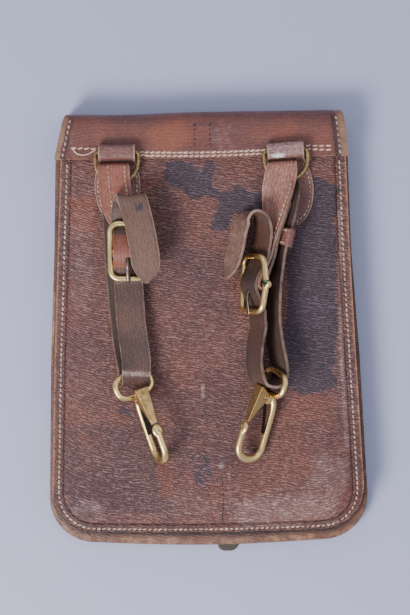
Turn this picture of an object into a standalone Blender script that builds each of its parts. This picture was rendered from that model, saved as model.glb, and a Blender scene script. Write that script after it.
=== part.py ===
"""Leather map case lying on its front, with two hanging straps, rings, buckles and snap hooks.

Units are metres, +Z is up and +Y runs to the top edge of the case. Tables are in millimetres.
"""
import math
from typing import NamedTuple

import bmesh
import bpy
from mathutils import Matrix, Vector

MM = 0.001

# Driving dimensions of the case, in millimetres
CASE_TOP_Y = 157.0
BODY_TOP_Y = 147.0
LIP_BOTTOM_Y = -154.6
LIP_BOTTOM_BOW = 3.0
LIP_CORNER_R = 33.0
BACK_BOTTOM_Y = -145.4
BACK_CORNER_R = 31.0
FLAP_LEATHER = 2.2
PANEL_LEATHER = 2.2
GUSSET_LEATHER = 1.8
PATCH_LEATHER = 1.8
GAP = 0.3
FRONT_Z = 4.8
FLANGE_Z = 21.5
FIELD_RISE = 1.5
FIELD_TOP = FLANGE_Z + PANEL_LEATHER + FIELD_RISE
CREASE_INSET = 9.0
FIELD_INSET = 12.5
CREASE_DIP = 0.25
SEAM_Y = 126.3

# Closure on the front, which lies underneath
CLOSURE_X = 14.6
CLOSURE_HALF = 9.0
CLOSURE_LEATHER = 2.0
CLOSURE_TOP_Y = 58.0
CLOSURE_TIP_Y = -162.9
STUD_Y = -118.0
STUD_R = 3.0

# Moves the middle of the whole to the frame's origin
FRAME_SHIFT = (-0.1, 1.1, 0.0)

# Straps and brass
STRAP_HALF = 10.5
STRAP_LEATHER = 2.0
KEEPER_LEATHER = 1.4
KEEPER_SLACK = 0.7
KEEPER_LONG = 9.0
RING_WIRE_R = 1.6
RING_HALF = 15.8
RING_CORNER = 2.4
RING_DROP = 22.2
BUCKLE_WIRE_R = 1.5
CENTRE_BAR_R = 1.3
BUCKLE_HALF_WIDE = 13.4
BUCKLE_HALF_LONG = 19.5
BUCKLE_CORNER = 6.0
PRONG_R = 1.1
EYE_WIRE_R = 1.45
EYE_HALF_WIDE = 14.0
EYE_HALF_HIGH = 8.8
SPINE_R = 2.1
NECK_HALF = 1.9
PIN_R = 1.1


class Edge(NamedTuple):
    """Left and right edge of an outline at one height."""

    y: float
    left: float
    right: float


class Station(NamedTuple):
    """Middle of a strap at one place, and the direction that its width points in."""

    x: float
    y: float
    z: float
    across_x: float = 1.0
    across_z: float = 0.0
    across_y: float = 0.0


class Section(NamedTuple):
    """One line along the gusset: height, and how far out it lies, at the sides and the bottom."""

    side_out: float
    bottom_out: float
    z: float


LIP_EDGES = (
    Edge(CASE_TOP_Y, -103.0, 103.0),
    Edge(128.0, -109.6, 106.0),
    Edge(60.0, -111.3, 107.6),
    Edge(-20.0, -114.8, 112.8),
    Edge(-121.0, -117.0, 117.2),
)
BACK_EDGES = (
    Edge(CASE_TOP_Y, -102.0, 102.0),
    Edge(128.0, -104.6, 103.4),
    Edge(60.0, -107.6, 105.4),
    Edge(-20.0, -111.0, 109.0),
    Edge(-112.0, -113.8, 113.4),
)
# Offsets are from the back panel's edge; the last line of the gusset runs along the lip's edge
GUSSET_LIP_Z = 8.2
GUSSET_SECTIONS = (
    Section(-0.4, -0.4, 20.3),
    Section(-5.0, -4.6, 20.2),
    Section(-6.6, -6.4, 18.4),
    Section(-6.8, -6.2, 14.0),
    Section(-6.0, -5.0, 10.0),
    Section(-4.2, -2.6, 8.4),
)


class HookPlace(NamedTuple):
    """Where a snap hook lies: the middle of its eye, its lean, its dip and its roll."""

    x: float
    y: float
    z: float
    lean_deg: float
    dip_deg: float
    roll_deg: float


class BucklePlace(NamedTuple):
    """Where a buckle lies: the middle of its centre bar, its lean, its rise and its roll."""

    x: float
    y: float
    z: float
    lean_deg: float
    rise_deg: float
    roll_deg: float


class RingPlace(NamedTuple):
    """Middle of a ring patch, its turn in the plane of the panel, and its sideways slant."""

    x: float
    turn_deg: float
    slant: float


RINGS = {"left": RingPlace(-63.3, 0.0, 0.0), "right": RingPlace(59.2, 4.0, 0.09)}
BUCKLES = {
    "left": BucklePlace(-55.8, 58.8, 37.6, 0.0, 4.5, 0.0),
    "right": BucklePlace(35.5, 33.7, 42.0, -3.0, 0.0, 60.0),
}
HOOKS = {
    "left": HookPlace(-53.2, -37.6, 34.6, 18.6, 1.8, -24.0),
    "right": HookPlace(48.4, -37.4, 39.0, -16.5, 6.6, 58.0),
}


def leather(name, color, roughness=0.6):
    """Return a leather material."""
    return principled(name, color, roughness, 0.0)


def principled(name, color, roughness, metallic):
    """Return a Principled material."""
    material = bpy.data.materials.new(name)
    material.use_nodes = True
    shader = material.node_tree.nodes["Principled BSDF"]
    shader.inputs["Base Color"].default_value = (*color, 1.0)
    shader.inputs["Roughness"].default_value = roughness
    shader.inputs["Metallic"].default_value = metallic
    return material


def clear_scene():
    """Remove every object of the scene."""
    for old in list(bpy.data.objects):
        bpy.data.objects.remove(old)


def collection(name):
    """Return a new collection linked to the scene."""
    made = bpy.data.collections.new(name)
    bpy.context.scene.collection.children.link(made)
    return made


def mesh_object(name, mesh, material=None):
    """Put a mesh in the case's collection as a named object."""
    made = bpy.data.objects.new(name, mesh)
    CASE.objects.link(made)
    if material is not None:
        made.data.materials.append(material)
    return made


def rounded(values, steps):
    """Return points of a smooth curve through the given vectors (Catmull-Rom)."""
    points = [Vector(v) for v in values]
    ends = [2 * points[0] - points[1]] + points + [2 * points[-1] - points[-2]]
    out = []
    for i in range(1, len(ends) - 2):
        a, b, c, d = ends[i - 1:i + 3]
        for step in range(steps):
            t = step / steps
            out.append(0.5 * (2 * b + (c - a) * t + (2 * a - 5 * b + 4 * c - d) * t * t
                              + (3 * b - a - 3 * c + d) * t ** 3))
    out.append(points[-1])
    return out


def edge_at(table, y):
    """Read an outline's left and right edge at height y."""
    for above, below in zip(table, table[1:]):
        if y >= below.y:
            share = (above.y - y) / (above.y - below.y)
            return Edge(y, above.left + share * (below.left - above.left),
                        above.right + share * (below.right - above.right))
    return Edge(y, table[-1].left, table[-1].right)


def rim(table, bottom_y, bow, radius, top_y, side_steps=10, corner_steps=7, bottom_steps=8):
    """Return the C-shaped outline, down the left side, along the bottom and up the right."""
    corner_y = bottom_y + radius
    left, right = [], []
    for i in range(side_steps):
        y = top_y + (corner_y - top_y) * i / side_steps
        edge = edge_at(table, y)
        left.append(Vector((edge.left, y)))
        right.append(Vector((edge.right, y)))
    low = edge_at(table, corner_y)
    for i in range(corner_steps):
        angle = math.pi / 2 * i / corner_steps
        drop = radius * math.sin(angle)
        reach = radius * (1 - math.cos(angle))
        left.append(Vector((low.left + reach, corner_y - drop)))
        right.append(Vector((low.right - reach, corner_y - drop)))
    start = low.left + radius
    end = low.right - radius
    bottom = []
    for i in range(bottom_steps + 1):
        share = i / bottom_steps
        sag = bow * math.sin(math.pi * share)
        bottom.append(Vector((start + (end - start) * share, bottom_y - sag)))
    return left + bottom + right[::-1]


def outward(path):
    """Return the outward direction at each point of the C-shaped outline."""
    out = []
    for i in range(len(path)):
        step = path[min(i + 1, len(path) - 1)] - path[max(i - 1, 0)]
        out.append(Vector((step.y, -step.x)).normalized())
    return out


def surface(name, rows, thickness, material, closed=False):
    """Make a wall from rows of points: an open surface with Solidify."""
    bm = bmesh.new()
    grid = [[bm.verts.new(Vector(p) * MM) for p in row] for row in rows]
    pairs = list(zip(grid, grid[1:]))
    if closed:
        pairs.append((grid[-1], grid[0]))
    for upper, lower in pairs:
        for i in range(len(upper) - 1):
            bm.faces.new((upper[i], lower[i], lower[i + 1], upper[i + 1]))
    mesh = bpy.data.meshes.new(name)
    bm.to_mesh(mesh)
    bm.free()
    made = mesh_object(name, mesh, material)
    solidify(made, thickness)
    return made


def solidify(made, thickness):
    """Give an open surface its wall, half on each side."""
    wall = made.modifiers.new("wall", "SOLIDIFY")
    wall.thickness = thickness * MM
    wall.offset = 0.0
    wall.use_even_offset = True


def ribbon_rows(stations, steps, half, tip=0.0):
    """Return rows of points across a strap that runs through the stations."""
    centres = rounded([(s.x, s.y, s.z) for s in stations], steps)
    wishes = rounded([(s.across_x, s.across_y, s.across_z) for s in stations], steps)
    rows = []
    for i, centre in enumerate(centres):
        run = (centres[min(i + 1, len(centres) - 1)] - centres[max(i - 1, 0)]).normalized()
        wish = wishes[i]
        across = (wish - run * run.dot(wish)).normalized()
        left_over = (centres[-1] - centre).length
        reach = half
        if left_over < tip:
            reach = half * (0.35 + 0.65 * math.sqrt(1 - (1 - left_over / tip) ** 2))
        rows.append([centre - across * reach, centre, centre + across * reach])
    return rows


def curve_mesh(name, curve_data, material):
    """Turn a curve into a welded mesh object."""
    holder = bpy.data.objects.new(name + "_curve", curve_data)
    bpy.context.scene.collection.objects.link(holder)
    depsgraph = bpy.context.evaluated_depsgraph_get()
    mesh = bpy.data.meshes.new_from_object(holder.evaluated_get(depsgraph))
    bpy.data.objects.remove(holder)
    bm = bmesh.new()
    bm.from_mesh(mesh)
    bmesh.ops.remove_doubles(bm, verts=bm.verts, dist=0.00001)
    bm.to_mesh(mesh)
    bm.free()
    mesh.materials.clear()
    return mesh_object(name, mesh, material)


def wire(name, points, radius, material, cyclic=False, radii=None):
    """Make a round wire through points given in millimetres."""
    data = bpy.data.curves.new(name, "CURVE")
    data.dimensions = "3D"
    data.bevel_depth = radius * MM
    data.bevel_resolution = 2
    data.use_fill_caps = not cyclic
    line = data.splines.new("POLY")
    line.points.add(len(points) - 1)
    for i, point in enumerate(points):
        line.points[i].co = (*(Vector(point) * MM), 1.0)
        if radii:
            line.points[i].radius = radii[i]
    line.use_cyclic_u = cyclic
    return curve_mesh(name, data, material)


def plate(name, outline, low, high, material, place=None):
    """Make a flat piece from an outline, between two heights, set at a place."""
    data = bpy.data.curves.new(name, "CURVE")
    data.dimensions = "2D"
    data.fill_mode = "BOTH"
    data.extrude = (high - low) / 2 * MM
    line = data.splines.new("POLY")
    line.points.add(len(outline) - 1)
    for i, point in enumerate(outline):
        line.points[i].co = (point[0] * MM, point[1] * MM, 0.0, 1.0)
    line.use_cyclic_u = True
    made = curve_mesh(name, data, material)
    made.data.transform(Matrix.Translation((0, 0, (low + high) / 2 * MM)))
    if place is not None:
        made.data.transform(place)
    return made


def rod(name, start, end, radius, sides, material=None):
    """Make a plain round rod between two points in millimetres."""
    start, end = Vector(start), Vector(end)
    bm = bmesh.new()
    bmesh.ops.create_cone(bm, cap_ends=True, segments=sides, radius1=radius * MM,
                          radius2=radius * MM, depth=(end - start).length * MM)
    turn = (end - start).to_track_quat("Z", "Y").to_matrix().to_4x4()
    bm.transform(Matrix.Translation((start + end) / 2 * MM) @ turn)
    mesh = bpy.data.meshes.new(name)
    bm.to_mesh(mesh)
    bm.free()
    return mesh_object(name, mesh, material)


def box(name, low, high, place, material=None):
    """Make a box between two corners, in millimetres, set at a place."""
    bm = bmesh.new()
    bmesh.ops.create_cube(bm, size=1.0)
    low, high = Vector(low), Vector(high)
    for vert in bm.verts:
        share = vert.co + Vector((0.5, 0.5, 0.5))
        vert.co = Vector(low[i] + (high[i] - low[i]) * share[i] for i in range(3)) * MM
    bm.transform(place)
    mesh = bpy.data.meshes.new(name)
    bm.to_mesh(mesh)
    bm.free()
    return mesh_object(name, mesh, material)


def make_cutter(cutter):
    """Move a cutting shape to the cutters' collection and hide it."""
    CASE.objects.unlink(cutter)
    CUTTERS.objects.link(cutter)
    cutter.display_type = "WIRE"
    cutter.hide_render = True


def boolean(made, other, operation):
    """Join another shape to an object, or cut it out, with an exact Boolean."""
    make_cutter(other)
    change = made.modifiers.new(other.name, "BOOLEAN")
    change.operation = operation
    change.object = other
    change.solver = "EXACT"


def place_of(x, y, z, lean_deg, dip_deg, roll_deg):
    """Return the frame of a fitting: X across, Y up the strap, Z out of its face."""
    turn = (Matrix.Rotation(math.radians(lean_deg), 4, "Z")
            @ Matrix.Rotation(math.radians(dip_deg), 4, "X")
            @ Matrix.Rotation(-math.radians(roll_deg), 4, "Y"))
    return Matrix.Translation(Vector((x, y, z)) * MM) @ turn


def half_width(table, y, bottom_y, radius, inset):
    """Return left and right edge of a round-cornered outline at height y, drawn in by inset."""
    edge = edge_at(table, y)
    low = bottom_y + radius
    drawn = inset
    if y < low:
        rise = min(low - y, radius - 0.01)
        drawn += radius - math.sqrt(radius ** 2 - rise ** 2)
    return edge.left + drawn, edge.right - drawn


def make_back_panel(material):
    """Back panel: flat sewn edge, crease and raised field."""
    path = rim(BACK_EDGES, BACK_BOTTOM_Y, 1.5, BACK_CORNER_R, BODY_TOP_Y)
    middle = FLANGE_Z + PANEL_LEATHER / 2
    out = outward(path)
    loops = (
        (0.0, middle),
        (CREASE_INSET - 1.5, middle),
        (CREASE_INSET, middle - CREASE_DIP),
        (FIELD_INSET, middle + FIELD_RISE),
    )
    bm = bmesh.new()
    grid = []
    for inset, z in loops:
        row = []
        for point, direction in zip(path, out):
            place = point - direction * inset
            row.append(bm.verts.new(Vector((place.x, place.y, z)) * MM))
        grid.append(row)
    for outer, inner in zip(grid, grid[1:]):
        for i in range(len(outer) - 1):
            bm.faces.new((outer[i], outer[i + 1], inner[i + 1], inner[i]))
    field = grid[-1]
    for i in range(len(field) // 2 - 1):
        bm.faces.new((field[i], field[i + 1], field[-2 - i], field[-1 - i]))
    middle_three = field[len(field) // 2 - 1:len(field) - len(field) // 2 + 1]
    if len(middle_three) == 3:
        bm.faces.new(middle_three)
    bmesh.ops.recalc_face_normals(bm, faces=bm.faces)
    mesh = bpy.data.meshes.new("back_panel")
    bm.to_mesh(mesh)
    bm.free()
    solidify(mesh_object("back_panel", mesh, material), PANEL_LEATHER)


def make_gusset(material):
    """Gusset: sides and bottom, with a flange turned out at each edge."""
    back = rim(BACK_EDGES, BACK_BOTTOM_Y, 1.5, BACK_CORNER_R, BODY_TOP_Y)
    lip = rim(LIP_EDGES, LIP_BOTTOM_Y, LIP_BOTTOM_BOW, LIP_CORNER_R, BODY_TOP_Y)
    out = outward(back)
    rows = []
    for point, far, direction in zip(back, lip, out):
        bottomness = abs(direction.y)
        row = []
        for section in GUSSET_SECTIONS:
            shift = section.side_out + (section.bottom_out - section.side_out) * bottomness
            place = point + direction * shift
            row.append((place.x, place.y, section.z))
        place = far - direction * 0.4
        row.append((place.x, place.y, GUSSET_LIP_Z))
        rows.append(row)
    surface("gusset", rows, GUSSET_LEATHER, material)


def make_front_panel(material, stud_hole):
    """Front panel: a flat plate whose cut edge is the rim."""
    outline = rim(LIP_EDGES, LIP_BOTTOM_Y, LIP_BOTTOM_BOW, LIP_CORNER_R, BODY_TOP_Y + 2.0)
    panel = plate("front_panel", outline, FRONT_Z, FRONT_Z + PANEL_LEATHER, material)
    boolean(panel, stud_hole, "DIFFERENCE")


# Side view of the flap, from its seam on the back, over the top edge, to the front
FLAP_SIDE_VIEW = (
    (SEAM_Y, 26.6), (140.0, 26.6), (148.0, 26.6), (153.6, 25.2), (157.8, 21.6), (159.6, 16.0),
    (159.8, 11.0), (158.6, 6.0), (155.2, 2.2), (150.0, 1.1),
)
FLAP_FRONT_ROWS = (130.0, 90.0, 66.0, 61.0, 10.0, -40.0, -90.0, -118.0)
FLAP_CORNER_ROWS = 7
FLAP_INSET = 1.4


def make_flap(material, stud_hole):
    """Flap: sewn to the back, over the top edge and down the whole front."""
    profile = list(FLAP_SIDE_VIEW) + [(y, FLAP_LEATHER / 2) for y in FLAP_FRONT_ROWS]
    low = LIP_BOTTOM_Y + LIP_CORNER_R
    for i in range(1, FLAP_CORNER_ROWS + 1):
        angle = math.radians(78) * i / FLAP_CORNER_ROWS
        profile.append((low - (LIP_CORNER_R - 0.6) * math.sin(angle), FLAP_LEATHER / 2))
    rows = []
    seen_front = False
    for y, z in profile:
        seen_front = seen_front or z < 2.0
        left, right = half_width(LIP_EDGES, y, LIP_BOTTOM_Y, LIP_CORNER_R, FLAP_INSET)
        if not seen_front:
            left, right = edge_at(LIP_EDGES, CASE_TOP_Y).left, edge_at(LIP_EDGES, CASE_TOP_Y).right
        if y <= CLOSURE_TOP_Y + 3.0 and seen_front:
            rise = CLOSURE_LEATHER + GAP
        else:
            rise = 0.0
        on_back = not seen_front and z > 24.0
        drop = -1.5 if on_back else 0.0
        near = CLOSURE_HALF + 1.0
        far = near + 3.0
        rows.append([
            (left, y, z + drop),
            (left + 5.0, y, z + drop),
            (left + 8.5, y, z),
            (CLOSURE_X - far - 40.0, y, z),
            (CLOSURE_X - far, y, z),
            (CLOSURE_X - near, y, z + rise),
            (CLOSURE_X + near, y, z + rise),
            (CLOSURE_X + far, y, z),
            (CLOSURE_X + far + 30.0, y, z),
            (right - 8.5, y, z),
            (right - 5.0, y, z + drop),
            (right, y, z + drop),
        ])
    flap = surface("flap", rows, FLAP_LEATHER, material)
    boolean(flap, stud_hole, "DIFFERENCE")


def make_closure(strap_material, stud_material):
    """Front strap, its tip past the bottom edge, and the plain stud that holds it."""
    middle = CLOSURE_LEATHER / 2
    stations = [
        Station(CLOSURE_X, CLOSURE_TOP_Y, middle),
        Station(CLOSURE_X, -50.0, middle),
        Station(CLOSURE_X, -145.0, middle),
        Station(CLOSURE_X - 0.8, CLOSURE_TIP_Y, middle),
    ]
    strap = surface("closure_strap", ribbon_rows(stations, 6, CLOSURE_HALF, 12.0),
                    CLOSURE_LEATHER, strap_material)
    boolean(strap, make_stud_hole("closure_strap_hole"), "DIFFERENCE")
    head_low = FRONT_Z + PANEL_LEATHER + GAP
    stud = rod("closure_stud", (CLOSURE_X, STUD_Y, 0.1), (CLOSURE_X, STUD_Y, head_low + 0.8),
               STUD_R, 16, stud_material)
    head = rod("stud_head", (CLOSURE_X, STUD_Y, head_low), (CLOSURE_X, STUD_Y, head_low + 1.5),
               STUD_R * 2, 20)
    boolean(stud, head, "UNION")


def make_stud_hole(name):
    """Return the round cutter for one of the stud's holes."""
    return rod(name, (CLOSURE_X, STUD_Y, -3.0), (CLOSURE_X, STUD_Y, 9.0), STUD_R + GAP, 16)


class PatchRow(NamedTuple):
    """One row of a ring patch: along it, height, and half width."""

    y: float
    z: float
    half: float


PATCH_MIDDLE = FIELD_TOP + GAP + PATCH_LEATHER / 2
PATCH_STEP = FLAP_LEATHER + GAP
ROLL_R = 3.2
PATCH_ROWS = (
    PatchRow(76.0, PATCH_MIDDLE, 1.2),
    PatchRow(79.0, PATCH_MIDDLE, 5.6),
    PatchRow(84.0, PATCH_MIDDLE, 9.8),
    PatchRow(91.0, PATCH_MIDDLE, 13.6),
    PatchRow(100.0, PATCH_MIDDLE, 16.0),
    PatchRow(108.0, PATCH_MIDDLE, 16.6),
    PatchRow(115.0, PATCH_MIDDLE, 15.8),
    PatchRow(121.8, PATCH_MIDDLE, 14.0),
    PatchRow(125.2, PATCH_MIDDLE + PATCH_STEP, 13.2),
)
ROLL_TOP_Y = 132.4
ROLL_LOW_Y = 129.0


def ring_place(side):
    """Return the frame that a ring and its patch are made in."""
    ring = RINGS[side]
    pivot = Vector((ring.x, 128.0, 0.0)) * MM
    return (Matrix.Translation(pivot) @ Matrix.Rotation(math.radians(ring.turn_deg), 4, "Z")
            @ Matrix.Translation(Vector((0.0, -128.0, 0.0)) * MM))


def make_ring_patch(side, material):
    """Shield-shaped patch whose top is rolled round the ring's bar."""
    rows = list(PATCH_ROWS)
    centre_z = PATCH_MIDDLE + PATCH_STEP + ROLL_R
    for i in range(7):
        angle = math.radians(-90 + 30 * i)
        rows.append(PatchRow(ROLL_TOP_Y + ROLL_R * math.cos(angle),
                             centre_z + ROLL_R * math.sin(angle), 13.2))
    for i in range(5):
        angle = math.radians(90 + 24 * i)
        rows.append(PatchRow(ROLL_LOW_Y + ROLL_R * math.cos(angle),
                             centre_z + ROLL_R * math.sin(angle), 13.2))
    grid = []
    for row in rows:
        slide = RINGS[side].slant * max(0.0, PATCH_ROWS[-1].y - row.y)
        grid.append([(slide + share * row.half, row.y, row.z) for share in (-1, -0.5, 0.5, 1)])
    patch = surface("ring_patch_" + side, grid, PATCH_LEATHER, material)
    patch.data.transform(ring_place(side))


def make_ring(side, material):
    """D ring: a straight bar in the roll and an arc that the strap hangs on."""
    bar_y = (ROLL_TOP_Y + ROLL_LOW_Y) / 2
    bar_z = PATCH_MIDDLE + PATCH_STEP + ROLL_R
    corner = RING_CORNER
    points = [(RING_HALF - corner, 0.0), (-RING_HALF + corner, 0.0)]
    for i in range(1, 4):
        angle = math.radians(90 + 30 * i)
        points.append((-RING_HALF + corner + corner * math.cos(angle),
                       -corner + corner * math.sin(angle)))
    for i in range(0, 11):
        angle = math.pi + math.pi * i / 10
        points.append((RING_HALF * math.cos(angle),
                       -7.0 + (RING_DROP - 7.0) * math.sin(angle)))
    for i in range(1, 4):
        angle = math.radians(30 * (i - 1))
        points.append((RING_HALF - corner + corner * math.cos(angle),
                       -corner + corner * math.sin(angle)))
    rise = math.radians(-1.2)
    placed = [(x, bar_y + y * math.cos(rise), bar_z - y * math.sin(rise)) for x, y in points]
    ring = wire("d_ring_" + side, placed, RING_WIRE_R, material, cyclic=True)
    ring.data.transform(ring_place(side))


def buckle_place(side):
    """Return a buckle's frame: X across, Y up the strap, Z out of its face."""
    return place_of(*BUCKLES[side])


def in_buckle(side, along, out, shift=0.0):
    """Return a strap station given in a buckle's own frame, in millimetres."""
    place = buckle_place(side)
    point = place @ (Vector((shift, along, out)) * MM) / MM
    across = place.to_3x3() @ Vector((1.0, 0.0, 0.0))
    return Station(point.x, point.y, point.z, across.x, across.z, across.y)


def make_buckle(side, material):
    """Centre-bar buckle: a round-cornered frame with a bar across its middle."""
    wide, far, corner = BUCKLE_HALF_WIDE, BUCKLE_HALF_LONG, BUCKLE_CORNER
    points = []
    for start, cx, cy in ((0, 1, 1), (90, -1, 1), (180, -1, -1), (270, 1, -1)):
        for i in range(5):
            angle = math.radians(start + 22.5 * i)
            points.append((cx * (wide - corner) + corner * math.cos(angle),
                           cy * (far - corner) + corner * math.sin(angle), 0.0))
    frame = wire("buckle_" + side, points, BUCKLE_WIRE_R, material, cyclic=True)
    bar = rod("centre_bar_" + side, (-wide, 0, 0), (wide, 0, 0), CENTRE_BAR_R, 10)
    place = buckle_place(side)
    frame.data.transform(place)
    bar.data.transform(place)
    boolean(frame, bar, "UNION")
    return frame


def make_prong(side, material):
    """Buckle tongue: from the centre bar, through the strap, onto the far bar."""
    local = ((-3.1, 0.4), (-4.2, 3.6), (-6.6, 5.9), (-10.0, 5.6), (-15.0, 4.1), (-19.5, 3.0),
             (-21.6, 2.7))
    place = buckle_place(side)
    points = [place @ (Vector((0.0, along, out)) * MM) / MM for along, out in local]
    radii = [1.0, 1.0, 1.0, 1.0, 0.95, 0.85, 0.7]
    wire("prong_" + side, points, PRONG_R, material, radii=radii)


def make_keeper(stations, material):
    """Small leather loop round the back layer of the right strap."""
    before, here, after = (Vector(stations[KEEPER_AT + i][:3]) for i in (-1, 0, 1))
    along = (after - before).normalized()
    place = stations[KEEPER_AT]
    across = Vector((place.across_x, place.across_y, place.across_z))
    across = (across - along * along.dot(across)).normalized()
    out = across.cross(along).normalized()
    if out.z < 0:
        out.negate()
    half = STRAP_HALF + KEEPER_SLACK + KEEPER_LEATHER / 2
    top = STRAP_LEATHER / 2 + KEEPER_SLACK + KEEPER_LEATHER / 2
    bottom = -top
    corner = 0.8
    loop = ((half - corner, bottom), (half, bottom + corner), (half, top - corner),
            (half - corner, top), (-half + corner, top), (-half, top - corner),
            (-half, bottom + corner), (-half + corner, bottom))
    rows = []
    for width, height in loop:
        point = here + across * width + out * height
        rows.append([point - along * KEEPER_LONG / 2, point + along * KEEPER_LONG / 2])
    surface("keeper", rows, KEEPER_LEATHER, material, closed=True)


KEEPER_AT = 28


def left_strap_stations():
    """Left strap: chape, ring fold, back layer, eye fold, front layer, buckle and free end."""
    side = "left"
    return [
        Station(-64.4, 104.6, 32.4),
        Station(-63.8, 97.0, 32.6),
        Station(-62.2, 88.0, 32.0),
        in_buckle(side, 17.0, -8.0, -0.7),
        in_buckle(side, 8.0, -4.6),
        in_buckle(side, 0.6, -2.95),
        in_buckle(side, -2.3, -2.05),
        in_buckle(side, -3.05, 0.0),
        in_buckle(side, -2.3, 2.05),
        in_buckle(side, 0.0, 2.95),
        in_buckle(side, 6.0, 1.2),
        in_buckle(side, 13.0, -3.0),
        in_buckle(side, 19.5, -5.7, -0.7),
        Station(-62.2, 88.0, 34.6),
        Station(-63.8, 97.0, 35.2),
        Station(-64.6, 104.0, 35.0),
        Station(-65.2, 110.0, 34.6),
        Station(-65.6, 118.5, 34.4),
        Station(-65.6, 121.0, 33.4),
        Station(-65.6, 121.8, 31.5),
        Station(-65.6, 121.0, 29.7),
        Station(-65.6, 118.5, 28.7),
        Station(-65.6, 106.0, 28.6),
        Station(-64.4, 93.0, 28.6),
        Station(-63.2, 70.0, 28.6),
        Station(-62.4, 50.0, 28.6),
        Station(-60.6, 23.6, 28.4),
        Station(-57.8, -5.5, 29.0, 0.99, -0.12),
        Station(-55.0, -24.0, 30.2, 0.95, -0.28),
        Station(-53.2, -32.4, 30.7, 0.94, -0.34),
        Station(-52.4, -35.6, 31.7, 0.94, -0.34),
        Station(-51.8, -37.1, 34.4, 0.94, -0.34),
        Station(-51.4, -36.0, 37.2, 0.94, -0.34),
        Station(-51.2, -32.4, 38.4, 0.94, -0.34),
        Station(-51.0, -20.0, 37.6, 0.98, -0.2),
        Station(-53.6, 0.0, 34.8),
        Station(-55.2, 20.0, 33.2),
        in_buckle(side, -26.0, -3.9),
        in_buckle(side, -19.5, -3.2),
        in_buckle(side, -13.0, -0.6),
        in_buckle(side, -6.0, 3.7),
        in_buckle(side, 0.0, 5.3),
        in_buckle(side, 6.0, 3.7),
        in_buckle(side, 13.0, -0.5),
        in_buckle(side, 19.5, -3.1),
        Station(-58.0, 84.0, 37.6),
        Station(-56.8, 89.0, 39.0),
        Station(-55.6, 93.5, 39.8),
        Station(-54.4, 96.8, 41.0),
        Station(-53.4, 97.7, 43.0),
        Station(-52.4, 96.4, 45.0),
        Station(-50.6, 91.5, 46.6),
        Station(-47.2, 78.0, 48.4),
        Station(-44.2, 62.0, 48.4),
        Station(-42.6, 48.0, 47.0),
        Station(-42.4, 35.6, 44.2),
    ]


def right_strap_stations():
    """Right strap: the same run, turned on its edge, with a standing free end."""
    side = "right"
    ax, az = math.cos(math.radians(60)), math.sin(math.radians(60))
    return [
        Station(53.8, 93.0, 35.0, 0.82, 0.57),
        Station(51.0, 80.0, 36.9, 0.64, 0.77),
        Station(46.8, 66.0, 38.3, 0.56, 0.83),
        in_buckle(side, 20.0, -9.0),
        in_buckle(side, 9.0, -5.2),
        in_buckle(side, 0.6, -2.95),
        in_buckle(side, -2.3, -2.05),
        in_buckle(side, -3.05, 0.0),
        in_buckle(side, -2.3, 2.05),
        in_buckle(side, 0.0, 2.95),
        in_buckle(side, 6.0, 1.2),
        in_buckle(side, 13.0, -3.0),
        in_buckle(side, 20.0, -6.2),
        Station(44.6, 66.0, 39.9, 0.56, 0.83),
        Station(49.0, 80.0, 38.6, 0.64, 0.77),
        Station(51.6, 93.0, 37.1, 0.82, 0.57),
        Station(53.4, 103.0, 35.9, 0.98, 0.2),
        Station(54.8, 110.0, 34.8, 1.0, 0.0, 0.03),
        Station(56.5, 118.5, 34.6, 1.0, 0.0, 0.05),
        Station(56.6, 121.0, 33.4, 1.0, 0.0, 0.05),
        Station(56.6, 121.8, 31.5, 1.0, 0.0, 0.05),
        Station(56.6, 121.0, 29.7, 1.0, 0.0, 0.05),
        Station(56.8, 118.5, 28.7, 1.0, 0.0, 0.05),
        Station(57.6, 112.0, 28.75, 1.0, 0.02, 0.03),
        Station(58.6, 106.0, 29.0, 1.0, 0.03),
        Station(59.4, 99.0, 32.6, 0.93, 0.36),
        Station(59.4, 92.0, 35.4, 0.8, 0.6),
        Station(58.0, 80.0, 36.6, 0.62, 0.78),
        Station(55.2, 68.0, 37.6, 0.55, 0.835),
        Station(52.4, 57.0, 36.8, ax, az),
        Station(49.2, 34.0, 36.2, ax, az),
        Station(48.0, 10.0, 36.2, ax, az),
        Station(49.8, -8.0, 36.2, ax, az),
        Station(52.6, -24.0, 36.8, ax, az),
        Station(52.6, -33.0, 37.6, ax, az),
        Station(48.2, -39.2, 39.2, ax, az),
        Station(41.0, -39.6, 40.5, ax, az),
        Station(36.2, -34.6, 40.8, ax, az),
        Station(34.2, -24.0, 40.4, ax, az),
        Station(35.2, -10.0, 40.2, ax, az),
        Station(37.6, 2.0, 40.2, ax, az),
        in_buckle(side, -25.0, -3.6),
        in_buckle(side, -19.5, -3.2),
        in_buckle(side, -13.0, -0.6),
        in_buckle(side, -6.0, 3.7),
        in_buckle(side, 0.0, 5.3),
        in_buckle(side, 6.0, 3.7),
        in_buckle(side, 13.0, -0.5),
        in_buckle(side, 19.5, -3.1),
        Station(41.2, 61.0, 42.4, ax, az),
        Station(42.4, 71.0, 42.0, ax, az),
        Station(40.6, 79.6, 41.4, ax, az),
        Station(35.4, 83.6, 40.6, ax, az),
        Station(29.2, 81.4, 39.6, ax, az),
        Station(24.8, 73.0, 38.6, ax, az),
        Station(22.6, 62.0, 37.8, ax, az),
        Station(19.4, 50.0, 37.0, ax, az),
        Station(15.4, 38.0, 36.4, ax, az),
    ]


def make_strap(side, stations, material):
    """One long strap, with the slot that the buckle's tongue comes through."""
    strap = surface("strap_" + side, ribbon_rows(stations, 2, STRAP_HALF, 9.0),
                    STRAP_LEATHER, material)
    slot = box("tongue_slot_" + side, (-1.8, -9.4, -1.3), (1.8, -0.6, 8.0), buckle_place(side))
    boolean(strap, slot, "DIFFERENCE")


def hook_place(side):
    """Return a hook's frame: X across the eye, Y up towards the strap, Z towards the lever."""
    return place_of(*HOOKS[side])


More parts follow.
